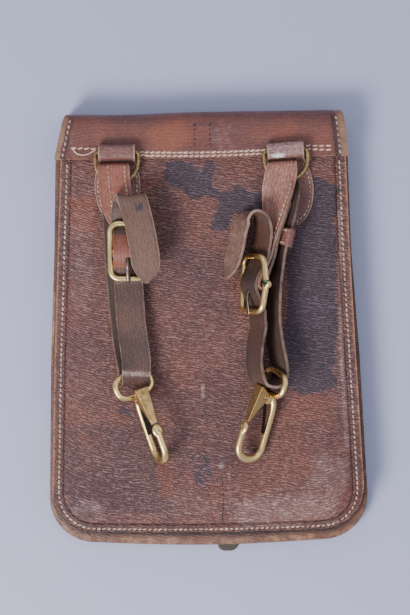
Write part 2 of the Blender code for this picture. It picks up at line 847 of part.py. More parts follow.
SPINE_V = -5.5
TIP_V = 14.5
BEND_U = 49.5
NOSE_U = 35.0
PIN_U = 11.5
PIN_V = 6.6


def hook_point(side, across, down, out):
    """Return a point given across the eye, down the hook and towards the lever."""
    return hook_place(side) @ (Vector((across, -down, out)) * MM) / MM


def make_hook(side, brass, pin_material, spring_material):
    """Snap hook: body with eye, lever, lever pin and leaf spring."""
    eye = []
    corner = 6.0
    for start, cx, cy in ((0, 1, 1), (90, -1, 1), (180, -1, -1), (270, 1, -1)):
        for i in range(5):
            angle = math.radians(start + 22.5 * i)
            eye.append(hook_point(side, cx * (EYE_HALF_WIDE - corner) + corner * math.cos(angle),
                                  -cy * (EYE_HALF_HIGH - corner) - corner * math.sin(angle), 0))
    body = wire("snap_body_" + side, eye, EYE_WIRE_R, brass, cyclic=True)
    line = [(9.5, -0.6), (13.0, -3.4), (18.0, -5.0), (26.0, SPINE_V), (36.0, SPINE_V)]
    middle = (SPINE_V + TIP_V) / 2
    reach = (TIP_V - SPINE_V) / 2
    for i in range(0, 11):
        angle = math.radians(180 * i / 10)
        line.append((BEND_U + reach * math.sin(angle) * 0.95, middle - reach * math.cos(angle)))
    line += [(43.0, TIP_V), (38.5, TIP_V - 0.2)]
    sizes = [1.25, 1.15, 1.05, 1.0, 1.0] + [0.95] * 11 + [0.95, 1.0]
    spine = wire("spine_" + side, [hook_point(side, 0, u, v) for u, v in line], SPINE_R, None,
                 radii=sizes)
    nose = rod("nose_" + side, hook_point(side, 0, NOSE_U + 1.2, TIP_V - 2.6),
               hook_point(side, 0, NOSE_U + 1.2, TIP_V + 1.6), 4.2, 16)
    place = hook_place(side) @ Matrix.Rotation(math.radians(90), 4, "Y")
    neck_outline = ((-1.0, -8.4), (4.0, -9.6), (PIN_V + 2.2, -9.8), (PIN_V + 2.6, -12.6),
                    (PIN_V + 1.0, -14.2), (1.0, -16.8), (-3.6, -19.0), (-5.0, -14.0),
                    (-2.4, -9.4))
    neck = plate("neck_" + side, [(-v, u) for v, u in neck_outline], -NECK_HALF, NECK_HALF,
                 None, place)
    for piece in (spine, nose, neck):
        boolean(body, piece, "UNION")
    boolean(body, rod("pin_hole_" + side, hook_point(side, -6, PIN_U, PIN_V),
                      hook_point(side, 6, PIN_U, PIN_V), PIN_R + GAP, 12), "DIFFERENCE")
    make_gate(side, brass)
    rod("gate_pin_" + side, hook_point(side, -4.4, PIN_U, PIN_V),
        hook_point(side, 4.4, PIN_U, PIN_V), PIN_R, 12, pin_material)
    leaf = ((1.8, -17.0), (-2.95, -38.4), (-2.35, -38.5), (2.4, -16.75))
    plate("gate_spring_" + side, [(-v, u) for v, u in leaf], -1.6, 1.6, spring_material, place)


def make_gate(side, brass):
    """Lever: a channel that straddles the neck and ends under the hook's nose."""
    place = hook_place(side) @ Matrix.Rotation(math.radians(90), 4, "Y")
    outline = ((PIN_V - 2.4, -9.0), (PIN_V + 4.6, -3.6), (PIN_V + 5.6, -4.4),
               (TIP_V - 0.4, -31.0), (TIP_V - 2.2, -31.2), (PIN_V + 1.2, -19.5),
               (PIN_V - 2.4, -13.6))
    gate = plate("snap_gate_" + side, [(-v, u) for v, u in outline], -3.9, 3.9, brass, place)
    inner = NECK_HALF + GAP
    channel_outline = ((PIN_V - 6.0, -1.0), (PIN_V + 2.0, -1.0), (PIN_V + 3.5, -7.4),
                       (PIN_V + 3.5, -16.6), (PIN_V - 6.0, -20.5))
    channel = plate("gate_channel_" + side, [(-v, u) for v, u in channel_outline],
                    -inner, inner, None, place)
    boolean(gate, channel, "DIFFERENCE")
    boolean(gate, rod("gate_hole_" + side, hook_point(side, -6, PIN_U, PIN_V),
                      hook_point(side, 6, PIN_U, PIN_V), PIN_R + GAP, 12), "DIFFERENCE")


def centre_in_frame():
    """Hang everything on an empty so that the frame's origin lies under the middle."""
    middle = bpy.data.objects.new("case_middle", None)
    CASE.objects.link(middle)
    middle.location = Vector(FRAME_SHIFT) * MM
    for made in list(CASE.objects) + list(CUTTERS.objects):
        if made is not middle:
            made.parent = middle


clear_scene()
CASE = collection("map_case")
CUTTERS = collection("cutters")

panel_leather = leather("panel_leather", (0.16, 0.075, 0.062))
gusset_leather = leather("gusset_leather", (0.20, 0.09, 0.065))
flap_leather = leather("flap_leather", (0.22, 0.085, 0.065))
strap_leather = leather("strap_leather", (0.12, 0.07, 0.055))
closure_leather = leather("closure_leather", (0.09, 0.075, 0.06))
patch_leather = leather("patch_leather", (0.20, 0.09, 0.075))
brass_metal = principled("old_brass", (0.45, 0.33, 0.14), 0.35, 1.0)
steel_metal = principled("spring_steel", (0.35, 0.36, 0.38), 0.4, 1.0)

make_back_panel(panel_leather)
make_gusset(gusset_leather)
make_front_panel(flap_leather, make_stud_hole("front_panel_hole"))
make_flap(flap_leather, make_stud_hole("flap_hole"))
make_closure(closure_leather, brass_metal)
make_keeper(right_strap_stations(), strap_leather)
for which in ("left", "right"):
    make_ring_patch(which, patch_leather)
    make_ring(which, brass_metal)
    make_buckle(which, brass_metal)
    make_prong(which, brass_metal)
    make_hook(which, brass_metal, brass_metal, steel_metal)
make_strap("left", left_strap_stations(), strap_leather)
make_strap("right", right_strap_stations(), strap_leather)
centre_in_frame()
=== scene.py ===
"""Leather map case lying face down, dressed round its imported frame.

+X runs to the right as the back is seen, +Y to the top edge and +Z out of the back. Drawings are
in millimetres, from the middle of the case, and ``to_metres`` puts them in the frame.
"""
from __future__ import annotations

import logging
import math
from collections.abc import Sequence
from dataclasses import dataclass, field
from enum import Enum

import bpy
import numpy as np
from mathutils import Matrix, Vector


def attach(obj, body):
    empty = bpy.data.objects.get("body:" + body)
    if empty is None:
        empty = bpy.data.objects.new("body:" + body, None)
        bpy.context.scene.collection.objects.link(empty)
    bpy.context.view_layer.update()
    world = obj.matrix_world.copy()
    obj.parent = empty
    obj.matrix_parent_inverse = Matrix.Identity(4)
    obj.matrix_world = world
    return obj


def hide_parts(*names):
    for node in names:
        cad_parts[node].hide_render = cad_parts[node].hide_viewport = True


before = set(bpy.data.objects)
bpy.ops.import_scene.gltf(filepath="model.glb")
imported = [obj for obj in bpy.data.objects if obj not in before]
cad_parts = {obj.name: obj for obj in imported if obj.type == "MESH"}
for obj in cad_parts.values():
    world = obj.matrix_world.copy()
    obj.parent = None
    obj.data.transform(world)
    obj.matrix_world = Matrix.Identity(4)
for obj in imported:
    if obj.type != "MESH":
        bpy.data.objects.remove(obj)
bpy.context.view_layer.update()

LOG = logging.getLogger("map_case")
MM = 0.001
FRAME_SHIFT = np.array((-0.1, 1.1, 0.0))
UP = (0.0, 0.0, 1.0)

Rgb = tuple[float, float, float]
Piece = bpy.types.Object
Socket = bpy.types.NodeSocket


class Side(Enum):
    """Left or right strap assembly, as the back is seen."""

    LEFT = "left"
    RIGHT = "right"


class Slot(Enum):
    """Material slots of the record."""

    PANEL = "panel_leather"
    GUSSET = "gusset_leather"
    FRONT = "front_leather"
    FLAP = "flap_leather"
    CLOSURE = "closure_leather"
    STRAP = "strap_leather"
    PATCH = "patch_leather"
    BRASS = "old_brass"
    STEEL = "spring_steel"


# Numbers and curves

def to_metres(points: np.ndarray) -> np.ndarray:
    """Turn drawing points in millimetres into places in the frame.

    Args:
        points: Rows of x, y, z in millimetres.

    Returns:
        The same rows in metres, moved to the frame's origin.
    """
    return (np.asarray(points, float) + FRAME_SHIFT) * MM


def soft_step(low: float, high: float, value: np.ndarray) -> np.ndarray:
    """Rise smoothly from 0 where the value is low to 1 where it is high."""
    share = np.clip((value - low) / (high - low), 0.0, 1.0)
    return share * share * (3.0 - 2.0 * share)


def ridge(value: np.ndarray, middle: float, width: float) -> np.ndarray:
    """Return a bell of height one round a middle value."""
    return np.exp(-((value - middle) / width) ** 2)


def through(points: np.ndarray, steps: int) -> np.ndarray:
    """Return points of a smooth curve through the given rows.

    Args:
        points: Rows to pass through.
        steps: Stretches between two rows.

    Returns:
        The rows of the curve, the given ones among them.
    """
    ends = np.vstack((2 * points[0] - points[1], points, 2 * points[-1] - points[-2]))
    t = (np.arange(steps) / steps)[:, None]
    runs = []
    for a, b, c, d in zip(ends, ends[1:], ends[2:], ends[3:]):
        runs.append(0.5 * (2 * b + (c - a) * t + (2 * a - 5 * b + 4 * c - d) * t ** 2
                           + (3 * b - a - 3 * c + d) * t ** 3))
    return np.vstack(runs + [points[-1:]])


def squared(value: np.ndarray, power: float) -> np.ndarray:
    """Bring a cosine or sine closer to a square wave by a power under one."""
    return np.sign(value) * np.abs(value) ** power


def unit(rows: np.ndarray) -> np.ndarray:
    """Return the rows at a length of one."""
    return rows / np.maximum(np.linalg.norm(rows, axis=-1, keepdims=True), 1e-9)


# Modelling by hand

def deselect() -> None:
    """Deselect every object."""
    bpy.ops.object.select_all(action="DESELECT")


def choose(piece: Piece) -> None:
    """Select one object alone and make it active."""
    deselect()
    piece.select_set(True)
    bpy.context.view_layer.objects.active = piece


def apply_modifier(piece: Piece, kind: str, **settings: object) -> None:
    """Add a modifier with its settings and apply it.

    Args:
        piece: The object to change.
        kind: The modifier's type.
        settings: Values of the modifier, by name.
    """
    choose(piece)
    bpy.ops.object.modifier_add(type=kind)
    modifier = piece.modifiers[-1]
    for name, value in settings.items():
        setattr(modifier, name, value)
    bpy.ops.object.modifier_apply(modifier=modifier.name)


def raw_points(piece: Piece) -> np.ndarray:
    """Return a piece's points as its mesh has them."""
    flat = np.zeros(len(piece.data.vertices) * 3)
    piece.data.vertices.foreach_get("co", flat)
    return flat.reshape(-1, 3)


def places(piece: Piece) -> np.ndarray:
    """Return a piece's points in the drawing's millimetres."""
    return raw_points(piece) / MM - FRAME_SHIFT


def move_points(piece: Piece, points: np.ndarray) -> None:
    """Move a piece's points to places in the drawing's millimetres."""
    piece.data.vertices.foreach_set("co", to_metres(points).ravel())
    piece.data.update()


def laid_sheet(name: str, points: np.ndarray) -> Piece:
    """Add a grid and lay its crossings on the given points.

    Args:
        name: The new object's name.
        points: Places in millimetres, one row of the sheet after another.

    Returns:
        The open sheet, with a UV map in metres along its columns and rows.
    """
    rows, columns = points.shape[:2]
    deselect()
    bpy.ops.mesh.primitive_grid_add(x_subdivisions=columns - 1, y_subdivisions=rows - 1, size=1.0)
    sheet = bpy.context.active_object
    sheet.name = name
    flat = raw_points(sheet)
    column = np.rint((flat[:, 0] + 0.5) * (columns - 1)).astype(int)
    row = np.rint((0.5 - flat[:, 1]) * (rows - 1)).astype(int)
    move_points(sheet, points[row, column])
    along, across = np.zeros((2, rows, columns))
    along[1:] = np.cumsum(np.linalg.norm(np.diff(points, axis=0), axis=2), axis=0)
    across[:, 1:] = np.cumsum(np.linalg.norm(np.diff(points, axis=1), axis=2), axis=1)
    corners = np.zeros(len(sheet.data.loops), int)
    sheet.data.loops.foreach_get("vertex_index", corners)
    pair = np.column_stack((across[row, column], along[row, column])) * MM
    sheet.data.uv_layers[0].data.foreach_set("uv", pair[corners].ravel())
    return sheet


def paint(piece: Piece, name: str, values: np.ndarray) -> None:
    """Store one number at each point of a piece for its material to read.

    Args:
        piece: The object to paint.
        name: The attribute's name.
        values: A number for each vertex.
    """
    layer = piece.data.attributes.get(name)
    if layer is None:
        layer = piece.data.attributes.new(name, "FLOAT", "POINT")
    layer.data.foreach_set("value", np.asarray(values, np.float32))


def painted(piece: Piece, name: str) -> np.ndarray:
    """Return what is painted on a piece under a name, or zeros."""
    found = np.zeros(len(piece.data.vertices), np.float32)
    layer = piece.data.attributes.get(name)
    if layer is not None:
        layer.data.foreach_get("value", found)
    return found


def paint_sheet(piece: Piece, name: str, grid: np.ndarray, like: np.ndarray | None = None) -> None:
    """Paint a laid sheet from a table with the same rows and columns as its points.

    Args:
        piece: A sheet fresh from ``laid_sheet``.
        name: The attribute's name.
        grid: One number for each crossing.
        like: A table that the numbers are spread to first.
    """
    if like is not None:
        grid = np.broadcast_to(grid, like.shape)
    rows, columns = grid.shape
    column, row = np.meshgrid(np.arange(columns), np.arange(rows))
    order = np.lexsort((column.ravel(), -row.ravel()))
    paint(piece, name, grid.ravel()[order])


def crumple(piece: Piece, strength: float, size: float) -> None:
    """Move the points of a sheet in and out by a soft cloud pattern.

    Args:
        piece: The sheet.
        strength: Largest way from trough to crest, in metres.
        size: Size of a swelling, in metres.
    """
    clouds = bpy.data.textures.new(piece.name + "_clouds", "CLOUDS")
    clouds.noise_scale = size
    apply_modifier(piece, "DISPLACE", texture=clouds, texture_coords="LOCAL", strength=strength,
                   mid_level=0.5)


def share_in(piece: Piece, group: str) -> np.ndarray:
    """Return each point's share in one of the piece's vertex groups."""
    wanted = piece.vertex_groups[group].index
    found = np.zeros(len(piece.data.vertices))
    for vertex in piece.data.vertices:
        for member in vertex.groups:
            if member.group == wanted:
                found[vertex.index] = member.weight
    return found


def give_wall(piece: Piece, thickness: float, rounding: float, angle: float = 55.0,
              cut: float = 0.0, flesh: float = 0.0) -> None:
    """Give a sheet its thickness, half on each side, and round its cut edges.

    Args:
        piece: The sheet.
        thickness: Wall in metres.
        rounding: Width of the rounded edge in metres.
        angle: Edges sharper than this many degrees are rounded.
        cut: How light the cut edge is, from 0 to 1.
        flesh: How much the sheet's upper side shows its rough flesh side.
    """
    piece.vertex_groups.new(name="under")
    piece.vertex_groups.new(name="cut")
    apply_modifier(piece, "SOLIDIFY", thickness=thickness, offset=0.0, use_even_offset=False,
                   shell_vertex_group="under", rim_vertex_group="cut")
    apply_modifier(piece, "BEVEL", width=rounding, segments=3, limit_method="ANGLE",
                   angle_limit=math.radians(angle), use_clamp_overlap=True)
    if cut:
        paint(piece, "rim", np.maximum(painted(piece, "rim"), cut * share_in(piece, "cut")))
    if flesh:
        paint(piece, "flesh", flesh * (1 - share_in(piece, "under")))
    piece.vertex_groups.clear()


def smooth(piece: Piece, angle: float = 40.0) -> None:
    """Shade a piece smooth but for edges sharper than the angle in degrees."""
    choose(piece)
    bpy.ops.object.shade_smooth_by_angle(angle=math.radians(angle))


def edit_whole(piece: Piece, operator: str, **settings: object) -> None:
    """Run one edit-mode operator on a whole piece, then turn its faces outwards.

    Args:
        piece: The object to edit.
        operator: The mesh operator's name.
        settings: The operator's settings.
    """
    choose(piece)
    bpy.ops.object.mode_set(mode="EDIT")
    bpy.ops.mesh.select_all(action="SELECT")
    getattr(bpy.ops.mesh, operator)(**settings)
    bpy.ops.mesh.normals_make_consistent(inside=False)
    bpy.ops.object.mode_set(mode="OBJECT")


def weld(piece: Piece, distance: float = 0.00002) -> None:
    """Merge points that lie closer than the distance in metres."""
    edit_whole(piece, "remove_doubles", threshold=distance)


def join(first: Piece, *others: Piece) -> Piece:
    """Join objects into the first one and return it."""
    choose(first)
    for other in others:
        other.select_set(True)
    bpy.ops.object.join()
    return first


def node_copy(node: str, name: str) -> Piece:
    """Return a rigid CAD node's copy as an object of its own, merged."""
    made = bpy.data.objects.new(name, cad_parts[node].data.copy())
    bpy.context.scene.collection.objects.link(made)
    weld(made)
    return made


def cast(piece: Piece, voxel: float, passes: int, *extras: Piece) -> Piece:
    """Fuse a closed piece and its extras, and smooth them as one casting.

    Args:
        piece: The closed piece.
        voxel: Grain of the new mesh in metres.
        passes: Times that it is smoothed.
        extras: Closed pieces to fuse with it.

    Returns:
        The casting.
    """
    if extras:
        piece = join(piece, *extras)
    apply_modifier(piece, "REMESH", mode="VOXEL", voxel_size=voxel, use_smooth_shade=True)
    apply_modifier(piece, "SMOOTH", factor=0.5, iterations=passes)
    choose(piece)
    bpy.ops.object.shade_smooth()
    return piece


def oval_bar(name: str, path: np.ndarray, up: np.ndarray, wide: np.ndarray, thick: np.ndarray,
             closed: bool, sides: int = 20) -> Piece:
    """Sweep an oval section along a path.

    Args:
        name: The new object's name.
        path: Rows of x, y, z in millimetres.
        up: The direction that the thickness is measured in, for all rows.
        wide: Half width of each row, across the path and up.
        thick: Half thickness of each row.
        closed: Whether the path is a ring; an open bar gets round ends.
        sides: Faces round the section.

    Returns:
        The closed bar.
    """
    wide, thick = (np.full(len(path), 1.0) * size for size in (wide, thick))
    if closed:
        run = unit(np.roll(path, -1, axis=0) - np.roll(path, 1, axis=0))
        path, run = np.vstack((path, path[:1])), np.vstack((run, run[:1]))
        wide, thick = np.append(wide, wide[0]), np.append(thick, thick[0])
    else:
        run = unit(np.gradient(path, axis=0))
        dome = np.array((0.03, 0.5, 0.8, 0.95))
        reach = 1 - np.sqrt(1 - dome ** 2)
        head = path[0] - run[0] * thick[0] * (1 - reach[:, None]) * 0.9
        tail = (path[-1] + run[-1] * thick[-1] * (1 - reach[:, None]) * 0.9)[::-1]
        path = np.vstack((head, path, tail))
        run = np.vstack((np.repeat(run[:1], 4, axis=0), run, np.repeat(run[-1:], 4, axis=0)))
        wide = np.concatenate((wide[0] * dome, wide, wide[-1] * dome[::-1]))
        thick = np.concatenate((thick[0] * dome, thick, thick[-1] * dome[::-1]))
    side = unit(np.cross(np.broadcast_to(np.asarray(up, float), path.shape), run))
    over = np.cross(run, side)
    turn = np.linspace(0.0, 2 * math.pi, sides + 1)
    points = (path[:, None, :] + side[:, None, :] * (wide[:, None] * np.cos(turn))[:, :, None]
              + over[:, None, :] * (thick[:, None] * np.sin(turn))[:, :, None])
    bar = laid_sheet(name, points)
    weld(bar, 0.000004)
    if not closed:
        edit_whole(bar, "fill_holes", sides=sides + 2)
    return bar


def boss(name: str, place: np.ndarray, axes: np.ndarray, sizes: Rgb) -> Piece:
    """Model a rounded knob: a ball with a half size along each of three axes.

    Args:
        name: The new object's name.
        place: Its middle in millimetres.
        axes: Three directions as columns.
        sizes: Half sizes in millimetres.

    Returns:
        The knob.
    """
    deselect()
    bpy.ops.mesh.primitive_uv_sphere_add(segments=24, ring_count=14, radius=1.0)
    made = bpy.context.active_object
    made.name = name
    move_points(made, (raw_points(made) * np.array(sizes)) @ axes.T + place)
    return made


def settle(piece: Piece, slot: Slot, look: str, *nodes: str, body: str = "case") -> Piece:
    """Give a finished piece its material, its body and the nodes that it stands for.

    Args:
        piece: The finished object.
        slot: The record's slot; not used.
        look: Name of the finish that it wears.
        nodes: CAD nodes that it replaces.
        body: The body that it rides on.

    Returns:
        The same object.
    """
    piece.data.materials.clear()
    piece.data.materials.append(LOOKS[look])
    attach(piece, body)
    if nodes:
        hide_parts(*nodes)
    LOG.info("%s: %d faces on %s", piece.name, len(piece.data.polygons), body)
    return piece


# Shader work

class Recipe:
    """Adds and links the nodes of one shader tree."""

    def __init__(self, tree: bpy.types.NodeTree) -> None:
        """Start with the tree to fill."""
        self.tree = tree

    def node(self, kind: str, sockets: dict[str | int, object] | None = None,
             **settings: object) -> bpy.types.Node:
        """Add a node, set it up and feed its inputs.

        Args:
            kind: The node's type.
            sockets: Inputs by name or number, each a value or another node's output.
            settings: Properties of the node.

        Returns:
            The node.
        """
        made = self.tree.nodes.new(kind)
        for name, value in settings.items():
            setattr(made, name, value)
        for key, value in (sockets or {}).items():
            self.feed(made.inputs[key], value)
        return made

    def feed(self, target: Socket, value: object) -> None:
        """Link an output to an input, or set the input's value.

        Args:
            target: The input.
            value: A socket, a number or a colour.
        """
        if isinstance(value, Socket):
            self.tree.links.new(value, target)
        elif isinstance(value, tuple) and len(value) == 3 and target.type == "RGBA":
            target.default_value = (*value, 1.0)
        else:
            target.default_value = value

    def sum(self, operation: str, a: object, b: object = 0.0) -> Socket:
        """Add a Math node and return its output."""
        return self.node("ShaderNodeMath", {0: a, 1: b}, operation=operation).outputs[0]

    def times(self, a: object, b: object) -> Socket:
        """Multiply two numbers."""
        return self.sum("MULTIPLY", a, b)

    def plus(self, a: object, b: object) -> Socket:
        """Add two numbers."""
        return self.sum("ADD", a, b)

    def minus(self, a: object, b: object) -> Socket:
        """Take the second number from the first."""
        return self.sum("SUBTRACT", a, b)

    def mix(self, share: object, a: object, b: object) -> Socket:
        """Mix two colours and return the result."""
        return self.node("ShaderNodeMix", {0: share, 6: a, 7: b}, data_type="RGBA").outputs[2]

    def span(self, value: object, low: float, high: float, to_low: float = 0.0,
             to_high: float = 1.0) -> Socket:
        """Map a range smoothly onto another and return the result."""
        made = self.node("ShaderNodeMapRange", {0: value, 1: low, 2: high, 3: to_low, 4: to_high},
                         interpolation_type="SMOOTHSTEP")
        return made.outputs[0]

    def noise(self, vector: Socket, scale: object, detail: float = 3.0, roughness: float = 0.55,
              distortion: float = 0.0) -> Socket:
        """Add a noise texture and return its value."""
        values = {"Vector": vector, "Scale": scale, "Detail": detail, "Roughness": roughness,
                  "Distortion": distortion}
        return self.node("ShaderNodeTexNoise", values).outputs[0]

    def attribute(self, name: str) -> Socket:
        """Read a painted number."""
        return self.node("ShaderNodeAttribute", attribute_name=name).outputs["Fac"]

    def turned(self, vector: Socket, turn: float) -> Socket:
        """Turn a vector about Z by degrees."""
        made = self.node("ShaderNodeMapping", {"Vector": vector})
        made.inputs["Rotation"].default_value = (0.0, 0.0, math.radians(turn))
        return made.outputs[0]

    def group(self, tree: bpy.types.NodeTree, **values: object) -> Sequence[Socket]:
        """Place a node group, feed its inputs by name and return its outputs."""
        return self.node("ShaderNodeGroup", values, node_tree=tree).outputs

    def surface(self, color: Socket, roughness: object, height: Socket, strength: float,
                depth: float, metallic: float = 0.0) -> None:
        """Feed the shader of a material.

        Args:
            color: Its base colour.
            roughness: Its roughness, a number or a mask.
            height: Height of its fine relief.
            strength: Strength of the relief.
            depth: Depth of the relief in metres.
            metallic: 1 for metal.
        """
        inputs = self.tree.nodes["Principled BSDF"].inputs
        self.feed(inputs["Base Color"], color)
        self.feed(inputs["Roughness"], roughness)
        inputs["Metallic"].default_value = metallic
        bump = self.node("ShaderNodeBump", {"Height": height, "Strength": strength,
                                            "Distance": depth})
        self.feed(inputs["Normal"], bump.outputs[0])


def new_material(name: str) -> tuple[bpy.types.Material, Recipe, Socket]:
    """Start a material: itself, its recipe and the place that its patterns are read at."""
    material = bpy.data.materials.new(name)
    material.use_nodes = True
    recipe = Recipe(material.node_tree)
    return material, recipe, recipe.node("ShaderNodeTexCoord").outputs["Object"]


def new_group(name: str, numbers: dict[str, float],
              outputs: Sequence[str]) -> tuple[bpy.types.NodeTree, Recipe, Sequence[Socket]]:
    """Start a shader node group that reads a Vector and numbers and puts out masks.

    Args:
        name: The group's name.
        numbers: Name and default of each number.
        outputs: Names of the masks.

    Returns:
        The group, a recipe for it, and the outputs of its input node.
    """
    group = bpy.data.node_groups.new(name, "ShaderNodeTree")
    sockets = group.interface
    sockets.new_socket(name="Vector", in_out="INPUT", socket_type="NodeSocketVector")
    for label, default in numbers.items():
        made = sockets.new_socket(name=label, in_out="INPUT", socket_type="NodeSocketFloat")
        made.default_value = default
    for label in outputs:
        sockets.new_socket(name=label, in_out="OUTPUT", socket_type="NodeSocketFloat")
    recipe = Recipe(group)
    return group, recipe, recipe.node("NodeGroupInput").outputs


def make_grain_group() -> bpy.types.NodeTree:
    """Build the fine pulled grain of the leather: long low ridges that wander and fall.

    Returns:
        A group that puts out the grain's Height and masks of its Crest and Trough.
    """
    group, recipe, given = new_group(
        "pulled_grain", {"Fineness": 560.0, "Stretch": 0.3, "Fall": 0.16, "Swing": 0.5},
        ("Height", "Crest", "Trough"))
    times, plus, minus = recipe.times, recipe.plus, recipe.minus
    x, y, z = recipe.node("ShaderNodeSeparateXYZ", {0: given["Vector"]}).outputs
    near_edge = recipe.sum("EXPONENT", times(plus(x, 0.106), -70.0))
    lean = minus(times(x, given["Fall"]), times(times(near_edge, given["Swing"]), 0.0143))
    wobble = times(minus(recipe.noise(given["Vector"], 30.0, 2.0), 0.5), 0.006)
    right = recipe.sum("MAXIMUM", minus(x, 0.072), 0.0)
    below = recipe.span(y, -0.06, -0.125)
    turn = times(times(right, right), times(below, times(given["Swing"], 34.0)))
    level = minus(plus(plus(y, lean), wobble), turn)
    way = recipe.node("ShaderNodeCombineXYZ",
                      {0: times(x, given["Stretch"]), 1: level, 2: z}).outputs[0]
    bends = times(recipe.noise(way, 420.0, 2.5, 0.6), 15.0)
    phase = plus(times(level, times(given["Fineness"], 3.6)), bends)
    ridges = plus(times(recipe.sum("SINE", phase), 0.5), 0.5)
    broad = recipe.noise(way, given["Fineness"], 2.0, 0.6, 0.3)
    height = plus(times(ridges, 0.24), times(broad, 0.76))
    recipe.node("NodeGroupOutput", {"Height": recipe.span(height, 0.34, 0.66),
                                    "Crest": recipe.span(height, 0.5, 0.64),
                                    "Trough": recipe.span(height, 0.48, 0.36)})
    return group


def make_blotch_group() -> bpy.types.NodeTree:
    """Build the uneven cover of old dye, as a group that puts out its Mask."""
    group, recipe, given = new_group("uneven_dye", {"Size": 30.0, "Cover": 0.5}, ("Mask",))
    broad = recipe.noise(given["Vector"], given["Size"], 5.0, 0.62)
    level = recipe.minus(recipe.plus(broad, given["Cover"]), 0.5)
    recipe.node("NodeGroupOutput", {"Mask": recipe.span(level, 0.35, 0.66)})
    return group


@dataclass(frozen=True)
class PaintedMark:
    """How a painted number shows: its ragged edge, the range that is read and its strength."""

    paint_name: str
    size: float
    amount: float
    low: float
    high: float
    strength: float = 1.0

    def mask(self, recipe: Recipe, place: Socket, more: object = 0.0) -> Socket:
        """Return where the wear shows.

        Args:
            recipe: The material's recipe.
            place: Where the noise of its edge is read.
            more: A number to add to what is painted.

        Returns:
            A mask from 0 to its strength.
        """
        noise = recipe.minus(recipe.noise(place, self.size, 5.0, 0.68), 0.5)
        ragged = recipe.plus(recipe.attribute(self.paint_name), recipe.times(noise, self.amount))
        shown = recipe.span(recipe.plus(ragged, more), self.low, self.high)
        return recipe.times(shown, self.strength)


BRUISE_WEAR = PaintedMark("bruise", 60.0, 0.9, 0.2, 1.0, 0.8)
WORN_WEAR = PaintedMark("worn", 75.0, 0.9, 0.22, 0.95, 0.6)
STAIN_WEAR = PaintedMark("stain", 190.0, 1.0, 0.24, 0.46)
# The scuff mark also carries painted sheen on the straps, the rim mark a painted highlight on the
# back's lip, and the shine mark is a painted highlight.
SCUFF_AND_SHEEN = PaintedMark("scuff", 170.0, 1.2, 0.3, 1.3)
RIM_AND_HIGHLIGHT = PaintedMark("rim", 130.0, 1.1, 0.35, 0.85)
PAINTED_HIGHLIGHT = PaintedMark("shine", 420.0, 0.9, 0.35, 0.9)
# The colour of the painted shade, mixed in where 'dark' is painted: creases, grooves, recesses,
# stitch rows and strap layers that lie under others.
PAINTED_SHADE: Rgb = (0.018, 0.011, 0.010)


class Way(Enum):
    """Which way a leather's grain runs."""

    PLACE = "across the case, by its place"
    LENGTH = "along the piece, by its UV map"


